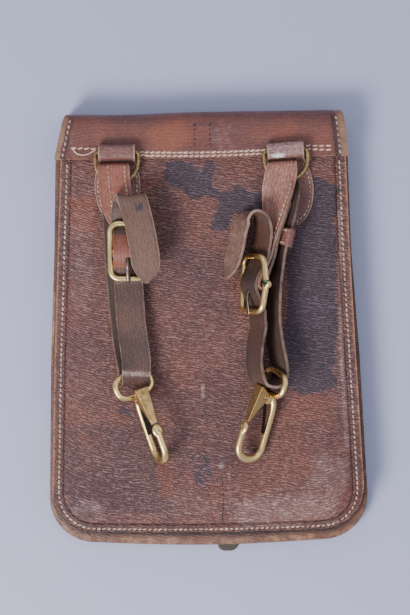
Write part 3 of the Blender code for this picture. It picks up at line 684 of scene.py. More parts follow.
@dataclass(frozen=True)
class LeatherFinish:
    """Colours, grain and wear of one leather, with its painted shade and painted highlights, which
    also reads all that is painted on it.
    """

    name: str
    base: Rgb
    second: Rgb
    warm: Rgb
    # crest: the lighter ridge crests, partly rub and partly painted highlight; deep: painted shade
    # in the troughs, and the colour of dark specks.
    crest: Rgb
    deep: Rgb
    rim: Rgb
    flesh: Rgb = (0.2, 0.115, 0.09)
    way: Way = Way.PLACE
    fineness: float = 980.0
    stretch: float = 0.36
    fall: float = 0.16
    swing: float = 0.5
    crest_share: float = 0.36
    trough_share: float = 0.74
    depth: float = 0.0006
    roughness: float = 0.47
    stain: Rgb = (0.040, 0.030, 0.046)
    bruise: Rgb = (0.085, 0.040, 0.046)
    worn: Rgb = (0.36, 0.10, 0.045)
    # Colours of scuffs, also used as painted sheen, and of painted highlights (shine).
    scuff: Rgb = (0.50, 0.33, 0.31)
    shine: Rgb = (0.78, 0.74, 0.74)

    def build(self, grain: bpy.types.NodeTree, blotch: bpy.types.NodeTree) -> bpy.types.Material:
        """Build the material.

        Args:
            grain: The pulled grain group.
            blotch: The uneven dye group.

        Returns:
            The material.
        """
        material, recipe, place = new_material(self.name)
        ridges = recipe.group(grain, Vector=self.grain_vector(recipe, place),
                              Fineness=self.fineness, Stretch=self.stretch, Fall=self.fall,
                              Swing=self.swing)
        crest = ridges["Crest"]
        clouds = recipe.group(blotch, Vector=place, Size=30.0, Cover=0.5)["Mask"]
        embers = recipe.group(blotch, Vector=recipe.turned(place, 60.0), Size=21.0,
                              Cover=0.44)["Mask"]
        speck = recipe.noise(place, 900.0, 3.0, 0.7)
        flesh = recipe.times(recipe.attribute("flesh"), recipe.span(
            recipe.noise(place, 240.0, 5.0, 0.75), 0.3, 0.62, 0.5, 1.0))
        stain = STAIN_WEAR.mask(recipe, place, recipe.times(ridges["Height"], -0.3))
        scuffed = recipe.times(SCUFF_AND_SHEEN.mask(recipe, place),
                               recipe.span(crest, 0.0, 1.0, 0.35, 0.95))
        thin_stain, crest_stain = (tuple(value * by for value in self.stain) for by in (1.5, 4.2))
        color: object = self.base
        for share, tint in (
            (clouds, self.second),
            (recipe.times(embers, 0.7), self.warm),
            (flesh, self.flesh),
            (BRUISE_WEAR.mask(recipe, place), self.bruise),
            (WORN_WEAR.mask(recipe, place), self.worn),
            (recipe.times(stain, 0.9), recipe.mix(clouds, self.stain, thin_stain)),
            # Ridge crests lighter, partly rub and partly painted highlight, paler inside the
            # stains; troughs darker as painted shade.
            (recipe.times(crest, self.crest_share),
             recipe.mix(recipe.times(stain, 0.7), self.crest, crest_stain)),
            (recipe.times(ridges["Trough"], self.trough_share), self.deep),
            (recipe.span(speck, 0.35, 0.7, 0.22, 0.0), self.deep),
            # Scuffs rubbed on the crests, and on the straps painted sheen at the chape, the fold
            # and the free end.
            (scuffed, self.scuff),
            # Lighter rubbed and cut edges, and on the back a painted highlight along the lip inside
            # the crease.
            (RIM_AND_HIGHLIGHT.mask(recipe, place), self.rim),
            # painted shade, where 'dark' is painted
            (recipe.attribute("dark"), PAINTED_SHADE),
            # painted highlight, where shine is painted
            (PAINTED_HIGHLIGHT.mask(recipe, place), self.shine),
        ):
            color = recipe.mix(share, color, tint)
        gloss = recipe.plus(recipe.span(clouds, 0.0, 1.0, -0.05, 0.06), self.roughness)
        gloss = recipe.plus(gloss, recipe.times(flesh, 0.3))
        gloss = recipe.plus(gloss, recipe.span(speck, 0.3, 0.7, 0.1, -0.04))
        height = recipe.plus(ridges["Height"], recipe.times(speck, 0.35))
        recipe.surface(color, gloss, height, 1.0, self.depth)
        return material

    def grain_vector(self, recipe: Recipe, place: Socket) -> Socket:
        """Return where the grain is read: the place, or the way along and across the piece."""
        if self.way is Way.PLACE:
            return place
        lengths = recipe.node("ShaderNodeTexCoord").outputs["UV"]
        across, along, _ = recipe.node("ShaderNodeSeparateXYZ", {0: lengths}).outputs
        return recipe.node("ShaderNodeCombineXYZ", {0: along, 1: across}).outputs[0]


@dataclass(frozen=True)
class MetalFinish:
    """Old metal: a bright ground under blotches of brown skin, and a little green where painted."""

    name: str
    bright: Rgb
    skin: Rgb
    roughness: float
    cover: float

    def build(self, blotch: bpy.types.NodeTree) -> bpy.types.Material:
        """Build the material.

        Args:
            blotch: The uneven dye group, here for the brown skin.

        Returns:
            The material.
        """
        material, recipe, place = new_material(self.name)
        skin = recipe.group(blotch, Vector=place, Size=190.0, Cover=self.cover)["Mask"]
        color = recipe.mix(recipe.times(skin, 0.75), self.bright, self.skin)
        green = recipe.times(recipe.attribute("green"), recipe.noise(place, 900.0, 3.0))
        color = recipe.mix(recipe.span(green, 0.3, 0.5), color, (0.03, 0.16, 0.10))
        rough = recipe.span(skin, 0.0, 1.0, self.roughness, self.roughness + 0.22)
        fine = recipe.noise(place, 1500.0, 3.0, 0.6)
        recipe.surface(color, rough, fine, 0.5, 0.00008, 1.0)
        return material


@dataclass(frozen=True)
class ThreadFinish:
    """Waxed thread, dirty in places."""

    name: str
    clean: Rgb
    dirty: Rgb

    def build(self) -> bpy.types.Material:
        """Build the material and return it."""
        material, recipe, place = new_material(self.name)
        soil = recipe.span(recipe.noise(place, 120.0, 4.0, 0.7), 0.38, 0.66)
        color = recipe.mix(soil, self.clean, self.dirty)
        recipe.surface(color, 0.75, recipe.noise(place, 2600.0, 2.0), 0.6, 0.00012)
        return material


LEATHERS = (
    LeatherFinish("back_leather", (0.202, 0.079, 0.066), (0.133, 0.057, 0.056),
                  (0.262, 0.080, 0.050), (0.40, 0.225, 0.198), (0.037, 0.015, 0.014),
                  (0.42, 0.20, 0.12)),
    LeatherFinish("flap_leather", (0.168, 0.056, 0.044), (0.125, 0.045, 0.043),
                  (0.25, 0.070, 0.038), (0.34, 0.17, 0.14), (0.06, 0.022, 0.020),
                  (0.30, 0.17, 0.10), fineness=700.0, stretch=0.8, fall=0.0, swing=0.0,
                  crest_share=0.16, trough_share=0.22, depth=0.00012, roughness=0.4),
    LeatherFinish("front_leather", (0.20, 0.078, 0.055), (0.14, 0.058, 0.045),
                  (0.28, 0.10, 0.06), (0.30, 0.16, 0.12), (0.05, 0.022, 0.017),
                  (0.42, 0.22, 0.13), crest_share=0.15, trough_share=0.25, depth=0.00012),
    LeatherFinish("gusset_leather", (0.155, 0.062, 0.044), (0.09, 0.038, 0.030),
                  (0.26, 0.11, 0.07), (0.32, 0.18, 0.13), (0.045, 0.022, 0.018),
                  (0.42, 0.225, 0.125), fineness=800.0, stretch=0.4, crest_share=0.2,
                  trough_share=0.35, depth=0.00016),
    LeatherFinish("strap_leather", (0.118, 0.062, 0.047), (0.070, 0.040, 0.033),
                  (0.150, 0.064, 0.044), (0.22, 0.13, 0.105), (0.030, 0.017, 0.015),
                  (0.34, 0.215, 0.165), flesh=(0.200, 0.104, 0.072), way=Way.LENGTH,
                  fineness=700.0, stretch=0.8, fall=0.0, swing=0.0, crest_share=0.14,
                  trough_share=0.34, depth=0.0001, roughness=0.42,
                  worn=(0.42, 0.105, 0.064), scuff=(0.52, 0.30, 0.235)),
    LeatherFinish("patch_leather", (0.210, 0.082, 0.070), (0.140, 0.060, 0.054),
                  (0.27, 0.095, 0.068), (0.42, 0.25, 0.21), (0.03, 0.015, 0.013),
                  (0.40, 0.25, 0.18), fineness=1100.0, stretch=0.6, fall=0.0, swing=0.0,
                  crest_share=0.3, trough_share=0.35, depth=0.00012, roughness=0.36),
    LeatherFinish("closure_leather", (0.065, 0.05, 0.036), (0.045, 0.036, 0.028),
                  (0.08, 0.055, 0.04), (0.14, 0.11, 0.08), (0.02, 0.015, 0.011),
                  (0.12, 0.09, 0.06), crest_share=0.2, trough_share=0.25, depth=0.00012),
)
METALS = (
    MetalFinish("old_brass", (0.97, 0.70, 0.29), (0.47, 0.31, 0.13), 0.27, 0.4),
    MetalFinish("lever_brass", (0.60, 0.39, 0.16), (0.30, 0.18, 0.07), 0.34, 0.5),
    MetalFinish("tongue_metal", (0.22, 0.185, 0.15), (0.06, 0.045, 0.035), 0.28, 0.5),
    MetalFinish("dull_brass", (0.50, 0.35, 0.16), (0.15, 0.095, 0.045), 0.34, 0.56),
    # spring_steel is near black: dark steel, darkened further as painted shade of the gap in the
    # hook where the spring sits.
    MetalFinish("spring_steel", (0.055, 0.046, 0.042), (0.02, 0.016, 0.014), 0.4, 0.5),
)
THREADS = (
    ThreadFinish("cream_thread", (0.64, 0.46, 0.34), (0.30, 0.185, 0.135)),
    ThreadFinish("pink_thread", (0.76, 0.53, 0.41), (0.50, 0.30, 0.22)),
    # awl_hole is near black: beads that stand for holes, with painted shade for their depth.
    ThreadFinish("awl_hole", (0.020, 0.012, 0.011), (0.012, 0.008, 0.007)),
)
LOOKS: dict[str, bpy.types.Material] = {}


def fill_looks() -> None:
    """Build every finish of the case once and keep its material under its name."""
    grain, blotch = make_grain_group(), make_blotch_group()
    LOOKS.update({finish.name: finish.build(grain, blotch) for finish in LEATHERS})
    LOOKS.update({finish.name: finish.build(blotch) for finish in METALS})
    LOOKS.update({finish.name: finish.build() for finish in THREADS})


# Sewing

@dataclass(frozen=True)
class Stitch:
    """Size of one stitch of a seam, in millimetres."""

    pitch: float = 4.1
    length: float = 3.1
    radius: float = 0.48
    sink: float = 0.1
    turn_deg: float = 9.0


def spread_along(path: np.ndarray, pitch: float) -> tuple[np.ndarray, np.ndarray]:
    """Place points along a path, evenly.

    Args:
        path: Rows of x, y, z.
        pitch: The way between two points.

    Returns:
        The points and the path's direction at each.
    """
    steps = np.linalg.norm(np.diff(path, axis=0), axis=1)
    run = np.concatenate(([0.0], np.cumsum(steps)))
    count = max(2, int(run[-1] / pitch))
    marks = (np.arange(count) + 0.5) * run[-1] / count
    spots = np.column_stack([np.interp(marks, run, path[:, i]) for i in range(path.shape[1])])
    ahead = np.column_stack([np.interp(marks + 0.3, run, path[:, i]) for i in range(3)])
    behind = np.column_stack([np.interp(marks - 0.3, run, path[:, i]) for i in range(3)])
    return spots, unit(ahead - behind)


def bead(name: str) -> Piece:
    """Model one stitch at a size of one: a round bead along X with drawn-in ends."""
    deselect()
    bpy.ops.mesh.primitive_uv_sphere_add(segments=10, ring_count=7, radius=1.0,
                                         rotation=(0.0, math.pi / 2, 0.0))
    made = bpy.context.active_object
    made.name = name
    bpy.ops.object.transform_apply(location=True, rotation=True, scale=True)
    return made


def sew(name: str, path: np.ndarray, up: np.ndarray, stitch: Stitch, seed: int, slot: Slot,
        look: str = "cream_thread") -> None:
    """Sew a row of stitches along a path, as one piece.

    Args:
        name: The new object's name.
        path: Rows of x, y, z in millimetres, on the leather.
        up: The leather's outward direction, one for all or one for each row of the path.
        stitch: Size of the stitches.
        seed: Seed of the small unevenness.
        slot: The record's slot of the stitches.
        look: Name of their finish.
    """
    draw = np.random.default_rng(seed)
    ups = np.broadcast_to(np.asarray(up, float), path.shape)
    rows = np.hstack((path, ups))
    spots, along = spread_along(rows, stitch.pitch)
    normal = unit(spots[:, 3:])
    along = unit(along - normal * (along * normal).sum(1)[:, None])
    side = np.cross(normal, along)
    turn = np.radians(stitch.turn_deg + draw.normal(0.0, 4.0, len(spots)))[:, None]
    lead = along * np.cos(turn) + side * np.sin(turn)
    side = np.cross(normal, lead)
    pattern = bead(name)
    shape = raw_points(pattern)
    faces = [tuple(face.vertices) for face in pattern.data.polygons]
    length = stitch.length / 2 * (1 + draw.normal(0.0, 0.07, len(spots)))[:, None, None]
    radius = stitch.radius * (1 + draw.normal(0.0, 0.08, len(spots)))[:, None, None]
    centre = spots[:, :3] - normal * stitch.sink
    cloud = (centre[:, None, :] + shape[None, :, 0:1] * length * lead[:, None, :]
             + shape[None, :, 1:2] * radius * side[:, None, :]
             + shape[None, :, 2:3] * radius * 0.85 * normal[:, None, :])
    points = to_metres(cloud.reshape(-1, 3))
    number = len(shape)
    every = [tuple(v + number * i for v in face) for i in range(len(spots)) for face in faces]
    mesh = bpy.data.meshes.new(name)
    mesh.from_pydata(points.tolist(), [], every)
    old = pattern.data
    pattern.data = mesh
    bpy.data.meshes.remove(old)
    weld(pattern, 0.000001)
    choose(pattern)
    bpy.ops.object.shade_smooth()
    settle(pattern, slot, look)


# The case itself

@dataclass(frozen=True)
class EdgeRow:
    """Left and right edge of an outline at one height, in millimetres."""

    y: float
    left: float
    right: float


@dataclass(frozen=True)
class Outline:
    """Round-cornered outline that is open at the top, in millimetres."""

    rows: tuple[EdgeRow, ...]
    bottom: float
    bow: float
    radius: float
    top: float

    def edges(self, y: np.ndarray) -> tuple[np.ndarray, np.ndarray]:
        """Read the left and right edge at the given heights."""
        heights = [row.y for row in self.rows][::-1]
        left = np.interp(y, heights, [row.left for row in self.rows][::-1])
        right = np.interp(y, heights, [row.right for row in self.rows][::-1])
        return left, right

    def path(self, side: int, corner: int, bottom: int) -> np.ndarray:
        """Return the outline, down the left side, along the bottom and up the right.

        Args:
            side: Steps of a side.
            corner: Steps of a corner.
            bottom: Steps of the bottom.

        Returns:
            Rows of x, y.
        """
        low = self.bottom + self.radius
        down = np.linspace(self.top, low, side, endpoint=False)
        left, right = self.edges(down)
        swing = np.linspace(0.0, math.pi / 2, corner, endpoint=False)
        low_left, low_right = (float(edge[0]) for edge in self.edges(np.array([low])))
        drop = low - self.radius * np.sin(swing)
        reach = self.radius * (1 - np.cos(swing))
        share = np.linspace(0.0, 1.0, bottom + 1)
        start, stop = low_left + self.radius, low_right - self.radius
        floor = np.column_stack((start + (stop - start) * share,
                                 self.bottom - self.bow * np.sin(math.pi * share)))
        left_side = np.vstack((np.column_stack((left, down)),
                               np.column_stack((low_left + reach, drop))))
        right_side = np.vstack((np.column_stack((right, down)),
                                np.column_stack((low_right - reach, drop))))
        return np.vstack((left_side, floor, right_side[::-1]))

    def inward(self, path: np.ndarray) -> np.ndarray:
        """Return the inward direction at each row of the path."""
        step = unit(np.gradient(path, axis=0))
        return np.column_stack((-step[:, 1], step[:, 0]))


def fill_ring(ring: np.ndarray, deep: int) -> tuple[np.ndarray, np.ndarray, np.ndarray]:
    """Lay rows of places evenly between the sides, the top and the bottom of a ring.

    Args:
        ring: Places down the left side, along the bottom and up the right.
        deep: Steps of each side.

    Returns:
        The places in rows and columns, and their shares of the way across and down.
    """
    left, floor, right = ring[:deep + 1], ring[deep:-deep], ring[-deep - 1:][::-1]
    u = np.linspace(0.0, 1.0, len(floor))[None, :, None]
    v = np.linspace(0.0, 1.0, len(left))[:, None, None]
    top = left[0] + (right[0] - left[0]) * u[0]
    corners = ((1 - u) * (1 - v) * left[0] + u * (1 - v) * right[0]
               + (1 - u) * v * left[-1] + u * v * right[-1])
    flat = ((1 - u) * left[:, None, :] + u * right[:, None, :]
            + (1 - v) * top[None, :, :] + v * floor[None, :, :] - corners)
    return flat, u[:, :, 0], v[:, :, 0]


LIP = Outline((EdgeRow(157, -103, 103), EdgeRow(128, -109.6, 106),
               EdgeRow(60, -111.3, 107.6), EdgeRow(-20, -114.8, 112.8),
               EdgeRow(-121, -117, 117.2)), -154.6, 3, 33, 147)
BACK = Outline((EdgeRow(157, -102, 102), EdgeRow(128, -104.6, 103.4),
                EdgeRow(60, -107.6, 105.4), EdgeRow(-20, -111, 109),
                EdgeRow(-112, -113.8, 113.4)), -145.4, 1.5, 31, 147)


@dataclass(frozen=True)
class Patch:
    """A soft patch of wear on the back, in millimetres."""

    x: float
    y: float
    half_x: float
    half_y: float
    turn_deg: float = 0.0
    strength: float = 1.0
    softness: float = 5.0

    def cover(self, x: np.ndarray, y: np.ndarray) -> np.ndarray:
        """Return how strongly it covers each place, from 0 to its strength."""
        turn = math.radians(self.turn_deg)
        along = (x - self.x) * math.cos(turn) + (y - self.y) * math.sin(turn)
        over = (y - self.y) * math.cos(turn) - (x - self.x) * math.sin(turn)
        outside = np.hypot(np.maximum(np.abs(along) - self.half_x, 0.0),
                           np.maximum(np.abs(over) - self.half_y, 0.0))
        return self.strength * (1.0 - soft_step(0.0, self.softness, outside))


@dataclass(frozen=True)
class Stain:
    """A dark stain with a drawn outline, in millimetres."""

    outline: tuple[tuple[float, float], ...]
    strength: float = 1.0
    softness: float = 2.4

    def cover(self, x: np.ndarray, y: np.ndarray) -> np.ndarray:
        """Return how strongly it covers each place, one half on its outline."""
        inside = np.zeros(np.shape(x), bool)
        nearest = np.full(np.shape(x), 1e9)
        for (ax, ay), (bx, by) in zip(self.outline, self.outline[1:] + self.outline[:1]):
            length = max((bx - ax) ** 2 + (by - ay) ** 2, 1e-9)
            share = np.clip(((x - ax) * (bx - ax) + (y - ay) * (by - ay)) / length, 0.0, 1.0)
            nearest = np.minimum(nearest, np.hypot(x - ax - share * (bx - ax),
                                                   y - ay - share * (by - ay)))
            crosses = (ay > y) != (by > y)
            meets = ax + (y - ay) * (bx - ax) / (by - ay if by != ay else 1e-9)
            inside ^= crosses & (x < meets)
        signed = np.where(inside, nearest, -nearest)
        return self.strength * soft_step(-self.softness, self.softness, signed)


def cover_of(patches: Sequence[Patch | Stain], x: np.ndarray, y: np.ndarray) -> np.ndarray:
    """Return the strongest cover of several patches at each place."""
    result = np.zeros(np.shape(x))
    for patch in patches:
        result = np.maximum(result, patch.cover(x, y))
    return result


STAINS = (
    Stain(((-28.6, 124), (-17, 124.4), (-9.6, 123.4), (-7.4, 119.6), (-2.3, 117.4),
           (1.3, 121.2), (3.4, 124), (7.8, 123.6), (8.6, 118), (5, 113), (6.4, 105.8),
           (13.6, 100.6), (20.2, 101.2), (23.2, 106), (27.6, 105), (30.4, 102),
           (35.4, 100.6), (43, 101.2), (43.6, 85.4), (40.6, 84), (21.6, 85.4), (18.8, 80.2),
           (16.6, 73), (4.2, 73.6), (4.4, 79.4), (6.4, 82.4), (11.4, 92.4), (9.4, 97),
           (-0.8, 98.6), (-8.2, 96), (-12.4, 98.4), (-15.2, 103.4), (-24, 105.8),
           (-28.6, 110))),
    Stain(((80, 112.4), (85.2, 110.2), (92.6, 105.8), (100.4, 104.4), (100.4, 100.8),
           (96, 98.6), (96.2, 84.8), (93.2, 79.6), (95.4, 70), (95.4, 22.8), (96.8, 1),
           (94, -11.4), (94, -22.4), (91.8, -28.2), (94, -37.6), (88, -42.8),
           (81.6, -45.8), (68.4, -47.2), (60.4, -43.6), (56.6, -32), (56.6, 0.8),
           (59.6, 22.8), (58.8, 52), (65.4, 66.4), (68.4, 77.4), (73, 86.8), (73.6, 95.6),
           (74.4, 104.8)), 0.94),
    Patch(88.6, -38, 4, 4, 10, 1, 3),
    Stain(((-65, -56.6), (-58.6, -54), (-55.4, -56), (-55, -61.4), (-61.8, -60.6),
           (-64.6, -59.4)), 0.8, 3.2),
    Patch(-5, -100, 5, 10, 10, 0.5, 8), Patch(-7, -107, 1.4, 3.4, 0, 0.9, 1.6),
    Patch(-1.4, -96, 1.2, 5, 6, 0.7, 1.8),
)
WORN = (
    Patch(-88, 86, 5, 9, 10, 0.85, 12), Patch(-84, -84, 8, 12, 20, 0.42, 14),
    Patch(76, -58, 14, 6, -8, 0.62, 12), Patch(30, 118, 14, 5, 0, 0.5, 10),
    Patch(-30, -14, 14, 24, 0, 0.36, 20), Patch(-29.4, -108, 2, 13, 0, 0.7, 5),
    Patch(-35, -106, 1.2, 14, 2, 0.7, 2), Patch(55, -104, 18, 8, 20, 0.4, 14),
    Patch(6, -118, 6, 6, 0, 0.5, 8), Patch(10, 70, 20, 10, 0, 0.4, 14),
)
BRUISES = (
    Patch(-4, -70, 18, 22, 0, 0.7, 22), Patch(-66, -100, 34, 24, 0, 0.95, 22),
    Patch(-60, -40, 22, 12, 10, 0.4, 22), Patch(-20, 40, 22, 10, -20, 0.45, 18),
    Patch(60, -70, 16, 10, 0, 0.35, 14), Patch(40, -20, 10, 40, 0, 0.4, 14),
    Patch(-92, 116, 5, 8, 0, 0.4, 9),
)
SCUFFS = (
    Patch(56, -131, 30, 3, 2, 0.8, 22), Patch(15, -118, 0.6, 16, 0, 0.6, 1.6),
    Patch(86, -112, 9, 16, -14, 0.7, 14), Patch(-90, 52, 3, 34, 0, 0.55, 14),
    Patch(98, 24, 0.6, 62, 0.5, 0.95, 2.4), Patch(100.6, -60, 1, 26, 1.5, 0.8, 2.6),
    Patch(-88, -128, 9, 3, -10, 0.7, 8), Patch(-3.4, -44, 0.9, 4.6, 0, 1.1, 1.4),
    Patch(9.8, -97.6, 1.8, 1.8, 0, 0.9, 1.4), Patch(16, -6, 10, 8, 0, 0.42, 12),
    Patch(-88, 108, 6, 12, 0, 0.4, 8), Patch(-10, -128, 18, 5, 0, 0.5, 10),
)
EDGE_STITCH = Stitch(3.7, 3.0, 0.7, 0.02, 12.0)
FLAP_WAYS = np.array((0.0, 0.5, 1.4, 3.0, 4.6, 5.2, 5.8, 6.6, 7.4, 7.8, 8.1, 8.5, 9.2, 10.5, 12.5,
                      15.0))


@dataclass
class CaseBody:
    """Back, gusset, front, flap and closure of the case. Sizes are in millimetres."""

    leather: float = 2.2
    gusset_leather: float = 1.8
    flange_z: float = 22.6
    front_z: float = 5.9
    flap_z: float = 26.6
    flap_front_z: float = 1.3
    field_rise: float = 1.5
    crease: float = 8.0
    crease_drawn: float = 1.7
    groove: float = 4.9
    groove_drawn: float = 2.4
    field_inset: float = 14.2
    back_steps: tuple[int, int, int] = (170, 22, 126)
    gusset_steps: tuple[int, int, int] = (110, 16, 80)
    front_steps: tuple[int, int, int] = (60, 12, 44)
    gusset_rows: tuple[tuple[float, float, float], ...] = (
        (-0.4, -0.4, 20.3), (-2.6, -2.4, 20.3), (-5.0, -4.6, 20.1), (-6.6, -6.4, 18.4),
        (-6.8, -6.2, 14.0), (-6.0, -5.0, 10.0), (-4.2, -2.6, 8.4))
    seam_y: float = 126.3
    closure_x: float = 14.6
    closure_half: float = 9.0
    flap_corner: float = 5.0

    def build(self) -> None:
        """Build every piece of the case's body."""
        self.back_panel()
        self.gusset()
        self.front_panel()
        self.flap()
        self.closure()

    def seam_ways(self, low: np.ndarray) -> tuple[np.ndarray, np.ndarray]:
        """Return how far in the stitch groove and the crease lie.

        Args:
            low: Share of a place that belongs to the bottom, where both lie closer to the edge.
        """
        return self.groove - self.groove_drawn * low, self.crease - self.crease_drawn * low

    def band_ways(self, low: np.ndarray) -> np.ndarray:
        """Return the ways in of the edge band's lines, finer at the groove and the crease."""
        groove, crease = (way[:, None] for way in self.seam_ways(low))
        outer = np.array((0.0, 0.4, 0.9))[None, :] + 0 * groove
        stitches = groove + np.array((-1.2, -0.5, 0.0, 0.5, 1.2))
        fold = crease + np.array((-1.5, -1.1, -0.75, -0.4, 0.0, 0.4, 0.8, 1.2, 1.7, 2.4, 3.6))
        last = np.full_like(groove, self.field_inset)
        return np.hstack((outer, stitches, fold, last))

    def relief(self, inset: np.ndarray, low: np.ndarray) -> np.ndarray:
        """Return the back's middle height at a way in from its edge.

        Args:
            inset: Ways in from the outline.
            low: Share of each place that belongs to the bottom.

        Returns:
            Heights over the table.
        """
        groove_at, crease_at = self.seam_ways(low)
        shoulder = self.field_rise * soft_step(crease_at + 0.1, crease_at + 3.2, inset)
        crease = (0.9 + 0.3 * low) * ridge(inset, crease_at, 0.62)
        bead_line = 0.25 * ridge(inset, crease_at - 1.5, 0.5)
        lip = 0.32 * ridge(inset, crease_at + 1.9, 0.8)
        groove = 0.32 * ridge(inset, groove_at, 0.6)
        return self.flange_z + shoulder - crease + bead_line + lip - groove

    def field_z(self) -> float:
        """Return the middle height of the field where it leaves the edge band."""
        return float(self.relief(np.array(self.field_inset), np.array(0.0)))

    def swelling(self, x: np.ndarray, y: np.ndarray) -> np.ndarray:
        """Return how far the field stands up from lying flat: a low crown and corner wrinkles."""
        crown = 0.9 * np.exp(-(x / 62.0) ** 2 - ((y + 30.0) / 80.0) ** 2)
        hollow = -0.5 * np.exp(-((x - 30.0) / 26.0) ** 2 - ((y + 60.0) / 22.0) ** 2)
        reach = np.hypot(x - 64.0, y + 92.0)
        swing = np.arctan2(y + 92.0, x - 64.0)
        window = (soft_step(14.0, 26.0, reach) * (1 - soft_step(36.0, 41.0, reach))
                  * np.exp(-((swing + 0.62) / 0.6) ** 2))
        wrinkles = 0.6 * np.sin(reach * 2 * math.pi / 4.3 + 2.2 * np.sin(swing * 3.0)) * window
        return crown + hollow + wrinkles

    def back_panel(self) -> None:
        """Model the back: flat sewn edge, pressed crease and raised field."""
        side, corner, bottom = self.back_steps
        path = BACK.path(side, corner, bottom)
        inward = BACK.inward(path)
        low = np.abs(inward[:, 1]) * (path[:, 1] < 0.0)
        insets = self.band_ways(low)
        spots = path[:, None, :] + inward[:, None, :] * insets[:, :, None]
        spots[:, :, 1] = np.minimum(spots[:, :, 1], BACK.top)
        low = low[:, None]
        band = laid_sheet("back_panel_edge", np.dstack((spots, self.relief(insets, low))))
        groove_at, crease_at = self.seam_ways(low)
        # Rim: the rubbed outer edge, and a painted highlight on the raised lip just inside the
        # crease.
        tan = (0.78 - 0.5 * low) * (1 - soft_step(0.2, 2.4, insets))
        paint_sheet(band, "rim", np.maximum(tan, 0.5 * ridge(insets, crease_at + 2.0, 0.7)))
        # Painted shade in the crease and the stitch groove, and along the outer edge at the bottom.
        dark = ((0.85 + 0.1 * low) * ridge(insets, crease_at, 0.8 + 0.3 * low)
                + 0.4 * ridge(insets, groove_at, 0.8)
                + 0.5 * low * (1 - soft_step(0.2, 1.2, insets)))
        paint_sheet(band, "dark", np.clip(dark, 0.0, 0.95))
        paint_sheet(band, "tired",
                    0.55 * (1 - soft_step(crease_at - 1.0, crease_at + 1.5, insets)))
        flat, across, down = fill_ring(spots[:, -1, :], side + corner)
        fade = (soft_step(0.0, 0.06, across) * (1 - soft_step(0.94, 1.0, across))
                * (1 - soft_step(0.95, 1.0, down)))
        height = self.field_z() + self.swelling(flat[:, :, 0], flat[:, :, 1]) * fade
        inner = laid_sheet("back_hide", np.dstack((flat, height)))
        for name in ("rim", "dark", "tired"):
            paint_sheet(inner, name, np.zeros(height.shape))
        panel = join(inner, band)
        weld(panel)
        crumple(panel, 0.0007, 0.028)
        x, y = places(panel)[:, :2].T
        for name, marks in (("stain", STAINS), ("worn", WORN), ("bruise", BRUISES),
                            ("scuff", SCUFFS)):
            cover = cover_of(marks, x, y)
            paint(panel, name, np.maximum(cover, painted(panel, "tired") * (name == "bruise")))
        give_wall(panel, self.leather * MM, 0.0006)
        smooth(panel)
        settle(panel, Slot.PANEL, "back_leather", "back_panel")
        self.back_seam(path + inward * groove_at)

    def back_seam(self, line: np.ndarray) -> None:
        """Sew the back's edge all round, up to the flap, and mark the old slit.

        Args:
            line: The stitch groove, as rows of x, y.
        """
        line = line[line[:, 1] < self.seam_y - 1.5]
        high = np.full((len(line), 1), self.flange_z + self.leather / 2 - 0.2)
        row = np.hstack((line, high))
        sew("edge_stitches", row, UP, EDGE_STITCH, 3, Slot.PANEL)
        # Larger near-black beads under the stitches: painted shade of the awl holes round each
        # stitch.
        sew("edge_stitch_holes", row, UP, Stitch(3.7, 5.2, 1.15, 0.9, 12.0), 3, Slot.PANEL,
            "awl_hole")
        y = np.linspace(-106.0, -139.0, 30)
        high = self.field_z() + self.leather / 2 + self.swelling(np.full_like(y, 10.2), y) * 0.96
        slit = np.column_stack((10.2 + 0.5 * np.sin(y / 7.0), y, high))
        sew("old_slit", slit, UP, Stitch(3.6, 3.2, 0.42, 0.1, 2.0), 5, Slot.PANEL, "awl_hole")

    def gusset(self) -> None:
        """Model the gusset: a wall that is drawn in, with a flange at each edge."""
        back, lip = BACK.path(*self.gusset_steps), LIP.path(*self.gusset_steps)
        outward = -BACK.inward(back)
        low = np.abs(outward[:, 1])
        profile = through(np.array(self.gusset_rows), 3)
        rows = []
        for side_out, bottom_out, z in profile:
            shift = side_out + (bottom_out - side_out) * low
            rows.append(np.column_stack((back + outward * shift[:, None],
                                         np.full(len(back), z))))
        edge = lip - outward * 0.4
        last = rows[-1]
        first_flange = len(rows)
        for share in (0.1, 0.2, 0.3, 0.4, 0.52, 0.64, 0.76, 0.88, 0.95, 1.0):
            flat = last[:, :2] + (edge - last[:, :2]) * share
            rise = 8.4 - 0.2 * share + 0.45 * math.sin(math.pi * share)
            rows.append(np.column_stack((flat, np.full(len(back), rise))))
        points = np.stack(rows, axis=1)
        gusset = laid_sheet("gusset_hide", points)
        crumple(gusset, 0.0009, 0.02)
        beyond = ((points[:, :, :2] - back[:, None, :]) * outward[:, None, :]).sum(axis=2)
        flange = np.arange(len(rows))[None, :] >= first_flange
        whole = beyond[:, -1:]
        # Painted shade: the flange's inner part under the back's overhang, the drawn-in wall, and a
        # line along the lip's outer edge.
        shade = np.where(flange, 0.97 * (1 - soft_step(0.16 * whole, 0.52 * whole, beyond)), 0.55)
        shade = np.maximum(shade, 0.55 * (beyond > whole - 0.3))
        paint_sheet(gusset, "dark", shade)
        lowness = (0.38 + 0.12 * soft_step(-60.0, -135.0, back[:, 1])
                   + 0.3 * ridge(back[:, 1], 10.0, 26.0) * (back[:, 0] < 0))
        patchy = np.where(flange, soft_step(0.3 * whole, 0.6 * whole, beyond), 0.15)
        paint_sheet(gusset, "rim", np.clip(patchy * lowness[:, None], 0.0, 1.0))
        give_wall(gusset, self.gusset_leather * MM, 0.0005)
        smooth(gusset)
        settle(gusset, Slot.GUSSET, "gusset_leather", "gusset")

